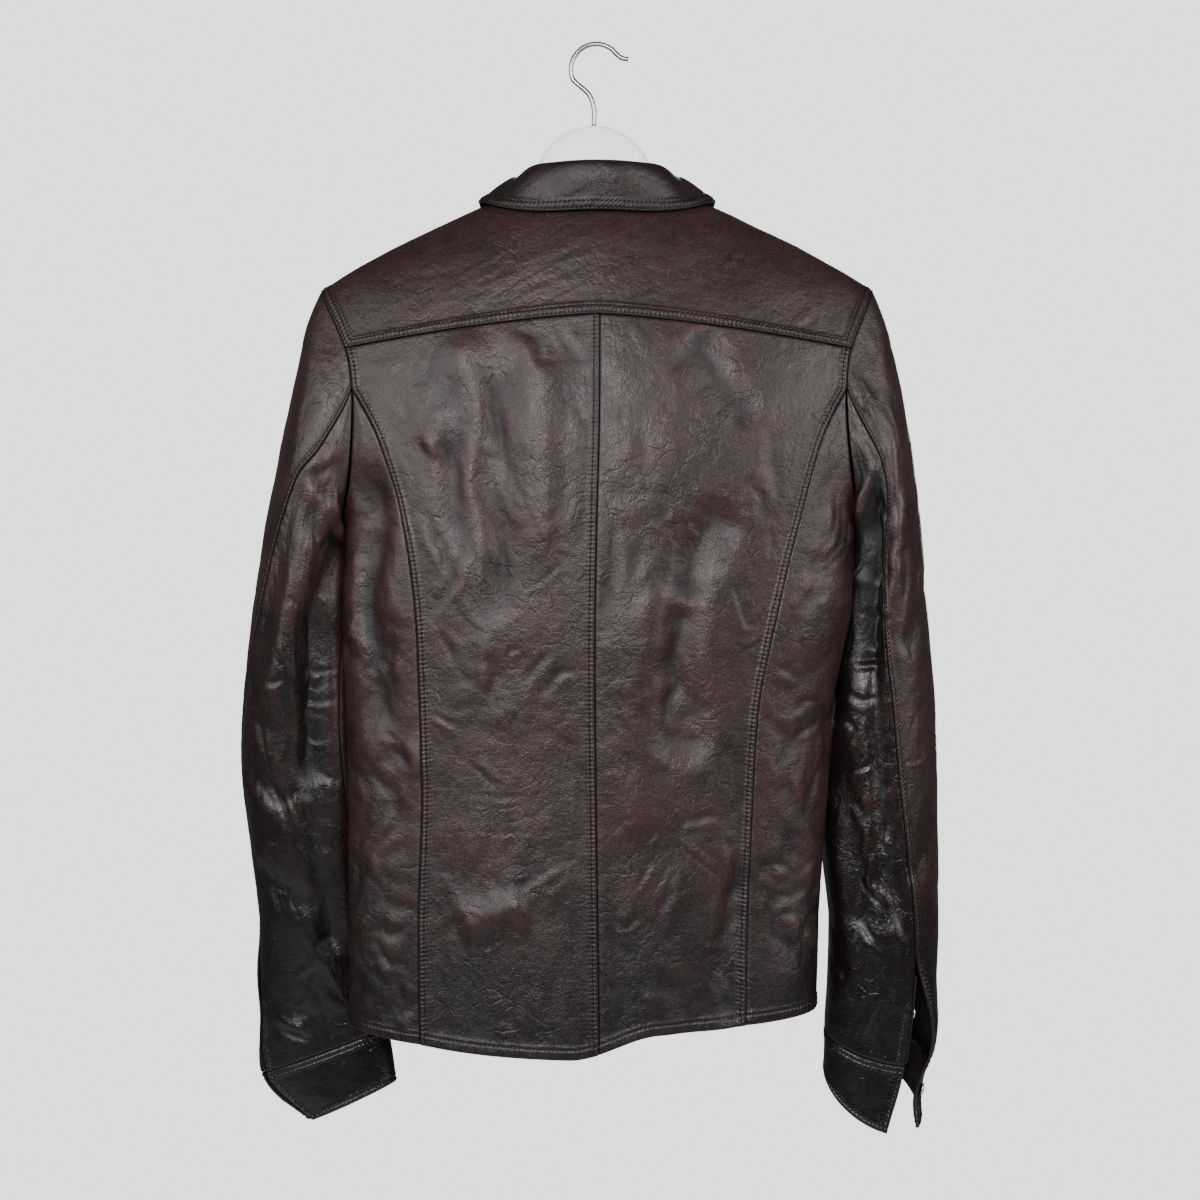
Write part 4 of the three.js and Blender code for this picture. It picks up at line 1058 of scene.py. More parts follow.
def sew_panel(node, point, edges, height, spacing, thickness, hangs_from=None, tone=0.5, gloss=0.0,
              shiny_from=400, hollow_shade=(0, 1)):
    """One leather panel: its surface raised by folds, creases and sewn edges, made a closed wall."""
    colours = bpy.context.scene.jacket_colours
    u, v = lay(point, spacing, edges)
    base = point(u, v)
    out = normals(base)
    left, right, top, bottom = measure(base)
    inside = np.minimum(np.minimum(left, right), np.minimum(top, bottom))
    calm = 0.08 + 0.92 * smoothstep(inside, 0, CALM_REACH)
    rise = height(base, out, u, v, left, top, calm)
    if edges[2] is not None and edges[2].turned:
        take_turning(base + out * rise[..., None], out, left, edges[2].turned)
    for edge, away, along in zip(edges, (left, right, top, bottom), (top, top, left, left)):
        if edge is not None:
            rise = rise + edge.height(away, along)
    outer = base + out * rise[..., None]
    inner = base + out * (np.minimum(box_blur(rise, 3), rise) - thickness)[..., None]
    points, faces = shell(outer, inner)
    drop = -base[..., 2]
    shiny = smoothstep(drop, shiny_from, shiny_from + SHINE_FADE)
    # Painted shade: between two heights, the hollow under the right arm, the leather is painted dark and made
    # rougher
    dark = smoothstep(drop, hollow_shade[0], hollow_shade[0] + 50) * (1 - smoothstep(drop, hollow_shade[1] - 14, hollow_shade[1]))
    # Painted shade and wear: leather above its surroundings is lighter as rubbed wear, and leather in troughs
    # and creases is darker as painted shade
    proud = rise - box_blur(rise, 9)
    worn = np.clip(lerp(0.5, tone, shiny) - 0.9 * dark + 0.3 * proud, -0.5, 1.5)
    # Painted shade: the leather is painted darker towards the bottom
    worn = worn - 0.55 * smoothstep(drop, PAINTED_SHADE_FROM, PAINTED_SHADE_TO)
    polish = gloss * shiny - 0.5 * dark + np.clip(0.9 * proud, -1, 0) - 3 * (1 - smoothstep(inside, 0, 0.6))
    teeth, along_seam = np.zeros_like(worn), np.zeros_like(worn)
    for edge, away, along in zip(edges, (left, right, top, bottom), (top, top, left, left)):
        if edge is not None and edge.rows:
            near = np.exp(-np.maximum(away - max(edge.rows), 0) / 3) * smoothstep(away, 0.4, 1.6)
            near = near * edge.sewn(along)
            along_seam = np.where(near > teeth, along, along_seam)
            teeth = np.maximum(teeth, near)
        if edge is not None:
            worn = worn - 0.9 * edge.shade(away, along)

    def both(values, other):
        return np.concatenate([values.ravel(), np.full(len(points) - values.size, other)])

    piece = put_mesh(
        f"{node}_leather", points, faces, leather_material(colours),
        worn=both(worn, 0.1), gloss=both(polish, -2), teeth=both(teeth, 0), along=both(along_seam, 0))
    fresh = normals(outer)
    for edge, away, axis in zip(edges, (left, right, top, bottom), (1, 1, 0, 0)):
        for row in edge.rows if edge is not None else ():
            take_row(outer, fresh, away, row, axis, edge.sewn(top if axis == 1 else left))
    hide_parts(node)
    if hangs_from is not None:
        width, length = left[:, -1].max() * MM, top[-1].max() * MM
        area = float(min(grid_area(base) * MM * MM, width * length))
    return piece


def box_blur(values, size):
    """Mean over a square of grid points, from running sums along both axes."""
    for axis in (0, 1):
        pad = [(0, 0), (0, 0)]
        pad[axis] = (size // 2 + 1, size // 2)
        sums = np.cumsum(np.pad(values, pad, mode="edge"), axis=axis)
        ahead = np.take(sums, np.arange(size, sums.shape[axis]), axis=axis)
        values = (ahead - np.take(sums, np.arange(0, sums.shape[axis] - size), axis=axis)) / size
    return values


# Materials

# Pitch of the ridges that the thread draws across a seam
TOOTH = 3.4


def new_material(name, colour, roughness, metallic=0.0):
    """A principled material with plain sockets."""
    material = bpy.data.materials.get(name)
    if material is not None:
        return material, None
    material = bpy.data.materials.new(name)
    material.use_nodes = True
    shader = material.node_tree.nodes["Principled BSDF"]
    shader.inputs["Base Color"].default_value = (*colour, 1)
    shader.inputs["Roughness"].default_value = roughness
    shader.inputs["Metallic"].default_value = metallic
    return material, shader


def leather_material(colours):
    """Brown leather: darker in creases, in a hollow and towards the bottom as painted shade, rubbed where
    raised, blotched, with a pebbled grain.
    """
    material, shader = new_material("worn_leather", colours.worn, 0.42)
    if shader is None:
        return material
    shader.inputs["Specular IOR Level"].default_value = 0.3
    shader.inputs["Specular Tint"].default_value = (1.0, 0.97, 0.98, 1)
    nodes, links = material.node_tree.nodes, material.node_tree.links
    place = nodes.new("ShaderNodeTexCoord").outputs["Object"]

    def cloud(scale, detail, rough=0.55):
        node = nodes.new("ShaderNodeTexNoise")
        node.inputs["Scale"].default_value = scale
        node.inputs["Detail"].default_value = detail
        node.inputs["Roughness"].default_value = rough
        links.new(place, node.inputs["Vector"])
        return node.outputs["Fac"]

    def spread(value, low, high, to_low, to_high):
        node = nodes.new("ShaderNodeMapRange")
        links.new(value, node.inputs["Value"])
        for key, number in zip(("From Min", "From Max", "To Min", "To Max"), (low, high, to_low, to_high)):
            node.inputs[key].default_value = number
        return node.outputs["Result"]

    def sums(kind, one, two):
        node = nodes.new("ShaderNodeMath")
        node.operation = kind
        for socket, value in zip(node.inputs, (one, two)):
            if isinstance(value, (int, float)):
                socket.default_value = value
            else:
                links.new(value, socket)
        return node.outputs["Value"]

    def blend(share, one, two):
        node = nodes.new("ShaderNodeMix")
        node.data_type = "RGBA"
        links.new(share, node.inputs["Factor"])
        for socket, value in zip((node.inputs["A"], node.inputs["B"]), (one, two)):
            if hasattr(value, "is_linked"):
                links.new(value, socket)
            else:
                socket.default_value = (*value, 1)
        return node.outputs["Result"]

    def stored(name):
        node = nodes.new("ShaderNodeAttribute")
        node.attribute_name = name
        return node.outputs["Fac"]

    def line(scale, detail, width, twist):
        """One along thin wandering lines where a noise passes its middle."""
        node = nodes.new("ShaderNodeTexNoise")
        for key, number in zip(("Scale", "Detail", "Roughness", "Distortion"), (scale, detail, 0.5, twist)):
            node.inputs[key].default_value = number
        links.new(place, node.inputs["Vector"])
        return spread(sums("ABSOLUTE", sums("SUBTRACT", node.outputs["Fac"], 0.5), 0), 0, width, 1, 0)

    # The stored share carries rubbed wear and painted shade: shade in creases, in the hollow under the right
    # arm and towards the bottom
    rubbed = sums("ADD", stored("worn"), spread(cloud(26, 5), 0.3, 0.7, -0.2, 0.2))
    rubbed = sums("ADD", rubbed, spread(cloud(420, 3), 0.3, 0.7, -0.2, 0.2))
    lines = sums("MULTIPLY", line(80, 0, 0.05, 0.3), spread(cloud(24, 1), 0.42, 0.62, 0.0, 1.0))
    share = spread(sums("SUBTRACT", rubbed, sums("MULTIPLY", lines, 0.22)), 0.05, 1.0, 0.0, 1.0)
    links.new(blend(share, tuple(colours.leather), tuple(colours.worn)), shader.inputs["Base Color"])
    rough = spread(cloud(60, 4), 0.3, 0.7, 0.31, 0.43)
    links.new(sums("SUBTRACT", rough, sums("MULTIPLY", stored("gloss"), 0.16)), shader.inputs["Roughness"])
    cells = nodes.new("ShaderNodeTexVoronoi")
    cells.feature = "DISTANCE_TO_EDGE"
    cells.inputs["Scale"].default_value = 600
    links.new(place, cells.inputs["Vector"])
    pebbles = spread(cells.outputs["Distance"], 0, 0.3, 0, 0.068)
    grain = sums("ADD", pebbles, sums("MULTIPLY", cloud(280, 2), 0.28))
    grain = sums("ADD", grain, sums("MULTIPLY", cloud(95, 4), 0.6))
    waves = sums("SINE", sums("MULTIPLY", stored("along"), FULL / TOOTH), 0)
    ladder = sums("MULTIPLY", waves, stored("teeth"))
    relief = sums("ADD", grain, sums("MULTIPLY", ladder, 0.1))
    relief = sums("SUBTRACT", relief, sums("MULTIPLY", lines, 0.14))
    bump = nodes.new("ShaderNodeBump")
    bump.inputs["Strength"].default_value = 1.0
    bump.inputs["Distance"].default_value = MM
    links.new(relief, bump.inputs["Height"])
    links.new(bump.outputs["Normal"], shader.inputs["Normal"])
    return material


def plain_material(name, colour, roughness, metallic=0.0, shine=0.5):
    """A material of one colour."""
    material, shader = new_material(name, tuple(colour), roughness, metallic)
    if shader is not None:
        shader.inputs["Specular IOR Level"].default_value = shine
    return material


# Heights of the panels


# Where the wrinkles' noise starts, and how far the sleeves' creases move down on their front
WRINKLE_START = 400
CREASE_SHIFT = 45


def fine_wrinkles(left, top, seed, amount):
    """Wrinkles of a panel by the distances from its left and top edges."""
    amount = amount * bpy.context.scene.jacket_sizes.wrinkle
    return crinkle(left + WRINKLE_START, top + WRINKLE_START, seed, amount)


def facing_back(out):
    """One where the leather faces the back, fading to zero where it turns to the side."""
    return smoothstep(-out[..., 1], 0.05, 0.4)


def back_height(seed, strength):
    """Largest folds of the back, faded at the side seams, with placed creases and fine wrinkles over them."""
    def height(base, out, u, v, left, top, calm):
        x, z = base[..., 0], base[..., 2]
        share = np.abs((x - centre_x(z)) / half_width(z))
        bent_x, bent_z = x + 9 * noise(x / 60, z / 60, 211), z + 9 * noise(x / 60, z / 60, 212)
        folds = 0.8 * fold_height(BACK_FOLDS, bent_x, bent_z) * (1 - smoothstep(share, 0.9, 1))
        folds = folds * (base[..., 1] < 0) + crease_height(BACK_CREASES, x, z) * facing_back(out)
        return folds + fine_wrinkles(left, top, seed, strength * calm)

    return height


def sleeve_height(sleeve, place, seed, strength):
    """Largest folds of a sleeve, placed creases, fine wrinkles, and a soft bulge towards the body."""
    def height(base, out, u, v, left, top, calm):
        around, s = place(u, v)
        folds = sleeve.fold_rise(around, s)
        x, z = base[..., 0], base[..., 2]
        folds = folds + crease_height(SLEEVE_CREASES, x, z) * facing_back(out)
        folds = folds + crease_height(SLEEVE_CREASES, x, z + CREASE_SHIFT) * facing_back(-out)
        folds = folds * (1 - smoothstep(s, sleeve.cuff - 0.3, sleeve.cuff - 0.03))
        last = 10 if sleeve.hand < 0 else 7.4
        bulge = through(
            [(0, 0), (0.6, 4), (1.5, 9), (3, 8), (4.5, 6), (6, 5.5), (last, 5.5), (last + 0.9, 0)])
        inwards = smoothstep(-0.85 * sleeve.hand * out[..., 0] - 0.53 * out[..., 2], 0.4, 0.9)
        folds = folds + bulge(s) * inwards + curl(sleeve.hand, around, s)
        return folds + fine_wrinkles(left, top, seed, strength * calm)

    return height


def front_height(seed, strength):
    """Placed creases and fine wrinkles of a front, calm below the placket."""
    def height(base, out, u, v, left, top, calm):
        x, z = base[..., 0], base[..., 2]
        beside = smoothstep(np.abs(x), 20, 36)
        creases = crease_height(FRONT_CREASES, x, z) * facing_back(-out) * beside
        return creases + fine_wrinkles(left, top, seed, strength * calm * (0.15 + 0.85 * beside))

    return height


def curl(hand, around, s):
    """Waves of the upper sleeve's edge beside the vent, growing towards the cuff, larger on the right."""
    near = smoothstep(around, FULL + BACK_SEAM - 0.9, FULL + BACK_SEAM)
    return near * (4 + 2 * hand) * np.sin(3.4 * (s - 9.1)) * smoothstep(s, 8.6, 9.6)


def cuff_height(sleeve, place, seed, strength):
    """A cuff follows the waves beside the vent, with fine wrinkles."""
    def height(base, out, u, v, left, top, calm):
        return curl(sleeve.hand, *place(u, v)) + fine_wrinkles(left, top, seed, strength * calm)

    return height


def wrinkles(seed, strength):
    """Fine wrinkles only."""
    def height(base, out, u, v, left, top, calm):
        return fine_wrinkles(left, top, seed, strength * calm)

    return height


class JACKET_OT_yoke(Operator):
    """Sew the yoke over the shoulders"""

    bl_idname = "jacket.yoke"
    bl_label = "Yoke"

    def execute(self, context):
        grid = context.scene.jacket_sizes.grid / MM
        seam = Edge(rows=(1.9, 6.9), welt=1.2, drop=0.6, pucker=0.28, seed=3)
        front = Edge(rows=(1.9,), welt=0.6, seed=5)
        sew_panel("yoke", yoke_point, (front, front, None, seam), back_height(11, 0.42), grid, LEATHER,
                  "hanger_body_moulding")
        return {"FINISHED"}


class JACKET_OT_collar(Operator):
    """Sew the collar's stand and fall"""

    bl_idname = "jacket.collar"
    bl_label = "Collar"

    def execute(self, context):
        grid = context.scene.jacket_sizes.grid / MM
        edge = Edge(rows=(1.9, 6.9), welt=1.0, drop=0.8, pucker=0.42, seed=31)
        sew_panel("collar_fall", fall_point, (edge, edge, None, edge), wrinkles(41, 0.35), grid,
                  LEATHER, "collar_stand_leather", tone=0.2, gloss=-0.3, shiny_from=-200)
        sew_panel("collar_stand", stand_point, (PLAIN, PLAIN, None, None), wrinkles(43, 0.3),
                  1.2 * grid, LEATHER, "yoke_leather")
        return {"FINISHED"}


class JACKET_OT_backs(Operator):
    """Sew the centre-back and side-back panels"""

    bl_idname = "jacket.backs"
    bl_label = "Back Panels"

    def execute(self, context):
        grid = context.scene.jacket_sizes.grid / MM
        under = Edge(drop=1.2, pucker=0.3, seed=7)
        hem = Edge(rows=(8.0,), welt=0.8, drop=0.7, pucker=0.42, seed=9)
        centre = Edge(rows=(4.2,), welt=1.1, pucker=0.3, seed=11)
        princess = Edge(rows=(4.2,), welt=1.2, pucker=0.34, seed=13)
        arm = Edge(drop=1.2, pucker=0.3, seed=17)
        top = Edge(drop=1.2, pucker=0.3, seed=7, turned=3.2)
        sew_panel("back_left", centre_back_point(-1), (princess, centre, top, hem),
                  back_height(51, 1.15), grid, LEATHER, "yoke_leather")
        sew_panel("back_right", centre_back_point(1), (under, princess, top, hem),
                  back_height(61, 1.15), grid, LEATHER, "yoke_leather")
        for word, hand in (("left", -1), ("right", 1)):
            edges = (arm, under, None, hem) if hand < 0 else (under, arm, None, hem)
            sew_panel(f"side_back_{word}", side_back_point(hand), edges,
                      back_height(71 + hand, 2.6), grid, LEATHER, f"back_{word}_leather")
        return {"FINISHED"}


class JACKET_OT_fronts(Operator):
    """Sew both fronts and the placket"""

    bl_idname = "jacket.fronts"
    bl_label = "Fronts"

    def execute(self, context):
        grid = context.scene.jacket_sizes.plain_grid / MM
        hem = Edge(rows=(8.0,), welt=0.8, drop=0.7, pucker=0.4, seed=19)
        side = Edge(drop=1.0, pucker=0.25, seed=23)
        top = Edge(turned=3.2)
        for word, hand in (("left", -1), ("right", 1)):
            edges = (None, side, top, hem) if hand < 0 else (side, None, top, hem)
            sew_panel(f"front_{word}", front_point(hand), edges, front_height(81 + hand, 1.0), grid,
                      LEATHER, "yoke_leather")
        strip = Edge(rows=(4.8,), welt=0.3, drop=0.6, pucker=0.15, seed=29)
        sew_panel("front_placket", placket_point, (strip, strip, PLAIN, PLAIN), wrinkles(85, 0.15),
                  grid, LEATHER, "front_left_leather")
        return {"FINISHED"}


class JACKET_OT_sleeves(Operator):
    """Sew the sleeves, vent strips and cuffs"""

    bl_idname = "jacket.sleeves"
    bl_label = "Sleeves"

    def execute(self, context):
        grid = context.scene.jacket_sizes.grid / MM
        arm = Edge(drop=0.7, pucker=0.35, seed=33)
        welt = Edge(rows=(4.2,), welt=1.1, pucker=0.34, seed=35)
        under = Edge(drop=1.1, pucker=0.3, seed=37)
        cuff_seam = Edge(drop=0.9, pucker=0.35, seed=39)
        band = Edge(rows=(4.2,), welt=0.5, drop=0.8, pucker=0.3, seed=45)
        top = Edge(rows=(4.2,), welt=0.5, drop=0.8, pucker=0.3, seed=45, turned=3.6)
        for word, sleeve in (("left", LEFT), ("right", RIGHT)):
            swap = sleeve.hand > 0
            point, place = sleeve.panel(FRONT_SEAM + 1e-6, FULL + BACK_SEAM)
            edges = (welt, under, arm, cuff_seam) if swap else (under, welt, arm, cuff_seam)
            sew_panel(f"sleeve_upper_{word}", point, edges,
                      sleeve_height(sleeve, place, 91 + sleeve.hand, 1.2), grid, LEATHER, "yoke_leather",
                      gloss=0.7, shiny_from=560)
            strip = Edge(rows=(2.0,), welt=0.2, drop=0.5, pucker=0.3, seed=47)
            vent = sew_panel(f"vent_placket_{word}", sleeve.vent_facing, (strip, PLAIN, PLAIN, PLAIN),
                             wrinkles(105, 0.2), grid, 1.2)
            point, place = sleeve.panel(BACK_SEAM + 1e-6, FRONT_SEAM - 1e-6)
            reach = 62 - 6 * sleeve.hand
            slit = Edge(rows=(1.9, 8.0), welt=0.7, drop=1.1, pucker=0.3, seed=49, reach=reach)
            edges = (under, slit, arm, cuff_seam) if swap else (slit, under, arm, cuff_seam)
            sew_panel(f"sleeve_under_{word}", point, edges,
                      sleeve_height(sleeve, place, 95 + sleeve.hand, 1.9), grid, LEATHER,
                      f"sleeve_upper_{word}_leather", tone=0.1, gloss=0.75 + 0.25 * sleeve.hand,
                      hollow_shade=(320, 498) if swap else (0, 1))
            point, place = sleeve.cuff_band()
            sew_panel(f"cuff_{word}", point, (band, band, top, band),
                      cuff_height(sleeve, place, 101 + sleeve.hand, 0.8), grid, CUFF_LEATHER,
                      f"sleeve_upper_{word}_leather", tone=0.15, gloss=0.9)
        return {"FINISHED"}


# Profile of a snap cap as shares of its radius and height
SNAP_PROFILE = np.array([
    (0.8, 0), (0.97, 0.1), (1, 0.3), (0.96, 0.55), (0.86, 0.72), (0.8, 0.7), (0.72, 0.8), (0.45, 0.95),
])


def dome(p, n, lift, sides=28):
    """A snap cap: a rounded profile turned about the normal at a point of the leather."""
    turn = np.linspace(0, FULL, sides, endpoint=False)
    helper = np.array([0, 0, 1.0]) if abs(n[2]) < 0.9 else np.array([1.0, 0, 0])
    one = unit(np.cross(helper, n))
    two = np.cross(n, one)
    circle = np.cos(turn)[:, None] * one + np.sin(turn)[:, None] * two
    rings = p + n * lift + SNAP_PROFILE[:, 0, None, None] * SNAP_RADIUS * circle
    rings = rings + SNAP_PROFILE[:, 1, None, None] * SNAP_HEIGHT * n
    index = np.arange(rings.shape[0] * sides).reshape(-1, sides)
    nxt = np.roll(index, -1, axis=1)
    faces = np.stack([index[:-1], nxt[:-1], nxt[1:], index[1:]], axis=-1).reshape(-1, 4)
    low, high = index.size, index.size + 1
    ends = [np.stack([nxt[0], index[0], np.full(sides, low)], axis=-1),
            np.stack([index[-1], nxt[-1], np.full(sides, high)], axis=-1)]
    points = np.concatenate([rings.reshape(-1, 3), [p + n * lift], [p + n * (lift + SNAP_HEIGHT)]])
    return points, faces.tolist() + np.concatenate(ends).tolist()


def surface_at(point, u, v):
    """Point and outward normal of a panel at one place."""
    e = 0.002
    us = np.array([[u - e, u, u + e]] * 3)
    vs = np.array([[v - e] * 3, [v] * 3, [v + e] * 3])
    p = point(us, vs)
    return p[1, 1], unit(np.cross(p[2, 1] - p[0, 1], p[1, 2] - p[1, 0]))


def snap_patch(z, size=4):
    """A small patch of the left front around a snap's height."""
    def point(u, v):
        return front_surface(-1, size * (0.5 - u), z + size * (0.5 - v))

    return point


class JACKET_OT_snaps(Operator):
    """Set the snaps on the placket and at the cuffs"""

    bl_idname = "jacket.snaps"
    bl_label = "Snaps"

    def execute(self, context):
        material = plain_material("snap_metal", context.scene.jacket_colours.snap, 0.28, 0.9)
        places = {}
        for i, z in enumerate(np.linspace(FIRST_SNAP_Z, LAST_SNAP_Z, FRONT_SNAPS)):
            found = surface_at(snap_patch(z), 0.5, 0.5)
            places[f"front_snap_{i + 1}"] = (*found, LEATHER + 2 * SURFACE_GAP + 0.2)
        for word, sleeve in (("left", LEFT), ("right", RIGHT)):
            found = surface_at(sleeve.vent_facing, 0.5, VENT_SNAP_DOWN)
            places[f"vent_snap_{word}"] = (*found, 2 * SURFACE_GAP)
            point, _ = sleeve.cuff_band()
            share = 1 - CUFF_SNAP_TURN / FULL
            found = surface_at(point, 1 - share if sleeve.hand > 0 else share, 0.5)
            rise = float(curl(sleeve.hand, BACK_SEAM + FULL - CUFF_SNAP_TURN, sleeve.cuff + 0.5))
            places[f"cuff_snap_{word}"] = (*found, SURFACE_GAP + rise)
        for name, (p, n, lift) in places.items():
            piece = put_mesh(f"{name}_cap", *dome(p, n, lift), material)
            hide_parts(name)
        return {"FINISHED"}


def hanger_top(x):
    """Top of the hanger: a dome at the neck, then just under the shoulder ridge."""
    off = np.abs(x - HANGER_X)
    ball = DOME_TOP - DOME_RADIUS + np.sqrt(np.maximum(0, DOME_RADIUS ** 2 - off ** 2))
    arm = ridge_z(x) - LEATHER - SURFACE_GAP - HANGER_CLEAR
    beside = arm - HANGER_SINK * (1 - smoothstep(off, DOME_RADIUS, NECK_HALF))
    return np.where(off < DOME_RADIUS, np.maximum(ball, arm - HANGER_SINK), beside)


def loft(rings):
    """A closed body through rings of points, fanned shut at both ends."""
    rows, n = rings.shape[:2]
    index = np.arange(rows * n).reshape(rows, n)
    nxt = np.roll(index, -1, axis=1)
    faces = np.stack([index[:-1], index[1:], nxt[1:], nxt[:-1]], axis=-1).reshape(-1, 4)
    caps = [index[0].tolist(), index[-1, ::-1].tolist()]
    return rings.reshape(-1, 3), faces.tolist() + caps


class JACKET_OT_hanger(Operator):
    """Build the hanger and bend its hook"""

    bl_idname = "jacket.hanger"
    bl_label = "Hanger"

    def execute(self, context):
        colours = context.scene.jacket_colours
        x = np.linspace(-HANGER_HALF, HANGER_HALF, 241)
        end = np.sqrt(np.clip((HANGER_HALF + TIP_OVER - np.abs(x)) / TIP_ROUND, 0, 1))
        high = hanger_top(x)
        tall = lerp(HANGER_TALL, HANGER_TIP_TALL, smoothstep(np.abs(x), HANGER_NECK, HANGER_HALF)) * end
        low = np.where(np.abs(x) < HANGER_NECK, np.minimum(high - tall, HANGER_LOW), high - tall)
        turn = np.linspace(0, FULL, 32, endpoint=False)
        y = HANGER_THICK * end[:, None] * np.sin(turn)
        z = ((high + low) / 2)[:, None] + ((high - low) / 2)[:, None] * np.cos(turn)
        rings = stack(np.broadcast_to(x[:, None], y.shape), y, z)
        moulding = plain_material("white_moulding", colours.hanger, 0.35)
        body = put_mesh("hanger_body_moulding", *loft(rings), moulding)
        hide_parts("hanger_body")
        chrome = plain_material("hook_wire", colours.metal, 0.3, 1.0)
        wire = put_mesh("hanger_hook_wire", *loft(hook_rings()), chrome)
        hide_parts("hanger_hook")
        return {"FINISHED"}


def hook_rings():
    """Circles along the hook: a stem, a bend to the left, an arc over the top and a short curl at the tip."""
    arc = np.radians(np.linspace(*HOOK_ARC, 13))
    bend = zip(HOOK_X + HOOK_RADIUS * np.cos(arc), WIRE - HOOK_RADIUS + HOOK_RADIUS * np.sin(arc))
    path = np.array([*HOOK_STEM, *bend, *HOOK_TIP])
    lengths = np.concatenate([[0], np.cumsum(np.linalg.norm(np.diff(path, axis=0), axis=1))])
    at = np.linspace(0, lengths[-1], 90)
    x, z = (through(list(zip(lengths, path[:, k])))(at) for k in (0, 1))
    way = unit(stack(np.gradient(x), 0 * x, np.gradient(z)))
    up = np.cross(way, [0, 1.0, 0])
    turn = np.linspace(0, FULL, 16, endpoint=False)
    spokes = up[:, None] * np.cos(turn)[:, None] + np.array([0, 1.0, 0]) * np.sin(turn)[:, None]
    return stack(x, 0 * x, z)[:, None] + WIRE * spokes


def along_line(run, values, at):
    """A line's points or normals at distances along it."""
    return np.stack([np.interp(at, run, values[:, k]) for k in range(3)], axis=-1)


class JACKET_OT_stitches(Operator):
    """Run the thread along every kept stitch row"""

    bl_idname = "jacket.stitches"
    bl_label = "Stitches"

    def execute(self, context):
        sizes, colours = context.scene.jacket_sizes, context.scene.jacket_colours
        pitch, radius = sizes.stitch / MM, sizes.thread / MM
        starts, ends, ups = [], [], []
        for line, way in STITCHES:
            run = np.concatenate([[0], np.cumsum(np.linalg.norm(np.diff(line, axis=0), axis=1))])
            at = np.arange(STITCH_START, run[-1] - pitch, pitch)
            starts.append(along_line(run, line, at))
            ends.append(along_line(run, line, at + STITCH_SHARE * pitch))
            ups.append(unit(along_line(run, way, at + STITCH_SHARE / 2 * pitch)))
        start, end, up = (np.concatenate(group) for group in (starts, ends, ups))
        put_mesh("stitching", *thread_bars(start, end, up, radius),
                 plain_material("thread", colours.thread, 0.9, shine=0.1))
        return {"FINISHED"}


class JACKET_OT_turnings(Operator):
    """Lay the turned-in edges under the yoke and cuff seams"""

    bl_idname = "jacket.turnings"
    bl_label = "Turned Edges"

    def execute(self, context):
        points, faces, count = [], [], 0
        for outer, inner in TURNINGS:
            spots, sides = shell(outer, inner)
            points.append(spots)
            faces += [[count + k for k in side] for side in sides]
            count += len(spots)
        none = np.zeros(count)
        piece = put_mesh(
            "turned_edges", np.concatenate(points), faces, leather_material(context.scene.jacket_colours),
            worn=none, gloss=none, teeth=none, along=none)
        return {"FINISHED"}


def thread_bars(start, end, up, radius):
    """Short bars of thread: four-sided rings along each stitch, sunk at both ends."""
    way = unit(end - start)
    side = unit(np.cross(way, up))
    up = np.cross(side, way)
    turn = np.linspace(0, FULL, 4, endpoint=False)
    shares = np.array([0.0, 0.22, 0.78, 1.0])
    sizes = np.array([0.35, 1.0, 1.0, 0.35])
    lifts = np.array([-0.35, 0.18, 0.18, -0.35])
    centre = lerp(start[:, None], end[:, None], shares[None, :, None]) + up[:, None] * lifts[None, :, None]
    spoke = side[:, None] * np.cos(turn)[:, None] + up[:, None] * np.sin(turn)[:, None]
    points = centre[:, :, None] + radius * sizes[None, :, None, None] * spoke[:, None]
    one = np.arange(16).reshape(4, 4)
    nxt = np.roll(one, -1, axis=1)
    walls = np.stack([one[:-1], one[1:], nxt[1:], nxt[:-1]], axis=-1).reshape(-1, 4)
    faces = (walls[None] + 16 * np.arange(len(start))[:, None, None]).reshape(-1, 4)
    caps = np.stack([one[0], one[-1, ::-1]])
    caps = (caps[None] + 16 * np.arange(len(start))[:, None, None]).reshape(-1, 4)
    return points.reshape(-1, 3), faces.tolist() + caps.tolist()


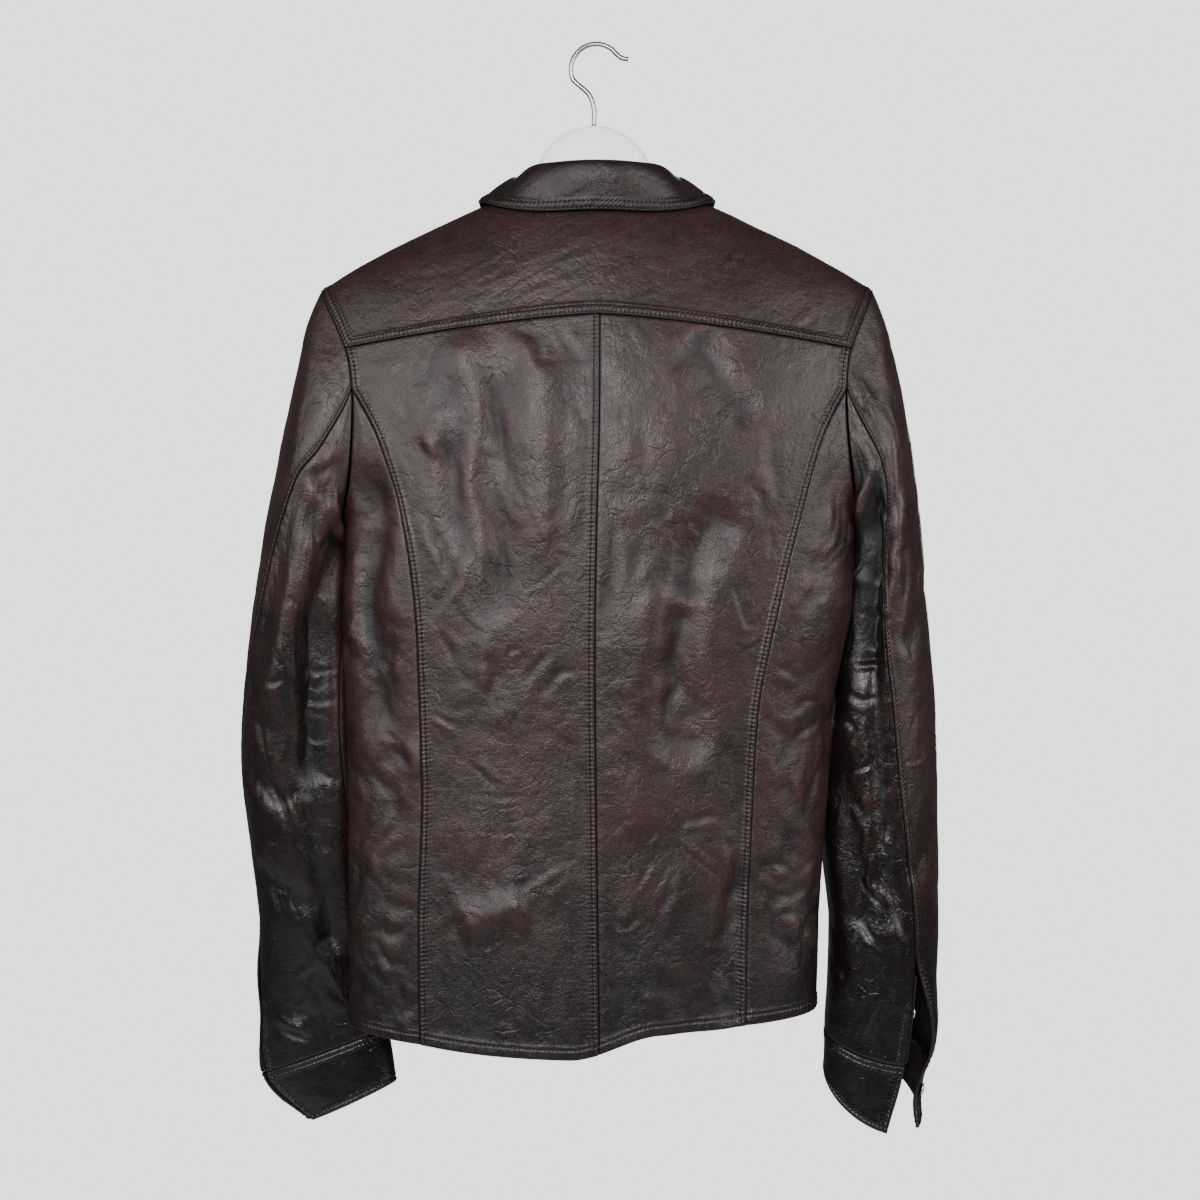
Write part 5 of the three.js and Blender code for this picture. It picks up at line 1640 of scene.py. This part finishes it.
class JACKET_OT_stage(Operator):
    """Set the floor, lights and camera"""

    bl_idname = "jacket.stage"
    bl_label = "Stage"

    def execute(self, context):
        scene = context.scene
        sizes, colours = scene.jacket_sizes, scene.jacket_colours
        world = bpy.data.worlds.new("soft_room")
        world.use_nodes = True
        room = world.node_tree
        background = room.nodes["Background"]
        background.inputs["Color"].default_value = ROOM_COLOUR
        path = room.nodes.new("ShaderNodeLightPath")
        share = room.nodes.new("ShaderNodeMapRange")
        share.inputs["To Min"].default_value = ROOM_LIGHT
        share.inputs["To Max"].default_value = BACKDROP_LIGHT
        room.links.new(path.outputs["Is Camera Ray"], share.inputs["Value"])
        room.links.new(share.outputs["Result"], background.inputs["Strength"])
        scene.world = world
        turn = np.linspace(0, FULL, FLOOR_SIDES, endpoint=False)
        rim = stack(FLOOR_RADIUS * np.cos(turn), FLOOR_RADIUS * np.sin(turn), -sizes.floor_drop)
        mesh = bpy.data.meshes.new("floor")
        mesh.from_pydata(rim, [], [list(range(FLOOR_SIDES))])
        mesh.materials.append(plain_material("pale_floor", colours.floor, 0.8))
        floor = bpy.data.objects.new("floor", mesh)
        scene.collection.objects.link(floor)
        for name, place, size, power in LAMPS:
            lamp = bpy.data.lights.new(name, "AREA")
            lamp.size = size
            lamp.energy = power
            holder = bpy.data.objects.new(name, lamp)
            holder.location = place
            holder.rotation_euler = look(place, LAMP_TARGET)
            scene.collection.objects.link(holder)
        lens = bpy.data.cameras.new("camera")
        lens.lens = lens.sensor_width * sizes.camera_distance / sizes.frame_width
        camera = bpy.data.objects.new("camera", lens)
        camera.location = (CAMERA_X, -sizes.camera_distance, CAMERA_Z)
        camera.rotation_euler = (math.pi / 2, 0, 0)
        scene.collection.objects.link(camera)
        scene.camera = camera
        return {"FINISHED"}


def look(place, target):
    """Euler angles that turn a lamp at a place towards a target."""
    dx, dy, dz = (t - p for p, t in zip(place, target))
    return math.atan2(math.hypot(dx, dy), -dz), 0, math.atan2(dy, dx) - math.pi / 2


class JACKET_PT_build(Panel):
    """Lists the steps that build the jacket"""

    bl_idname = "JACKET_PT_build"
    bl_label = "Leather Jacket"
    bl_space_type = "VIEW_3D"
    bl_region_type = "UI"
    bl_category = "Jacket"

    def draw(self, context):
        for step in STEPS:
            self.layout.operator(step.bl_idname)


STEPS = (
    JACKET_OT_stage, JACKET_OT_hanger, JACKET_OT_yoke, JACKET_OT_collar, JACKET_OT_backs, JACKET_OT_fronts,
    JACKET_OT_sleeves, JACKET_OT_snaps, JACKET_OT_stitches, JACKET_OT_turnings,
)
CLASSES = (JacketSizes, JacketColours, *STEPS, JACKET_PT_build)


def register():
    """Registers the classes and hangs the settings on the scene."""
    for cls in CLASSES:
        bpy.utils.register_class(cls)
    bpy.types.Scene.jacket_sizes = PointerProperty(type=JacketSizes)
    bpy.types.Scene.jacket_colours = PointerProperty(type=JacketColours)


def unregister():
    """Removes the settings and the classes."""
    del bpy.types.Scene.jacket_colours
    del bpy.types.Scene.jacket_sizes
    for cls in reversed(CLASSES):
        bpy.utils.unregister_class(cls)


def main():
    """Builds the stage and every piece."""
    register()
    bpy.ops.jacket.stage()
    bpy.ops.jacket.hanger()
    bpy.ops.jacket.yoke()
    bpy.ops.jacket.collar()
    bpy.ops.jacket.backs()
    bpy.ops.jacket.fronts()
    bpy.ops.jacket.sleeves()
    bpy.ops.jacket.snaps()
    bpy.ops.jacket.stitches()
    bpy.ops.jacket.turnings()


if __name__ == "__main__":
    main()
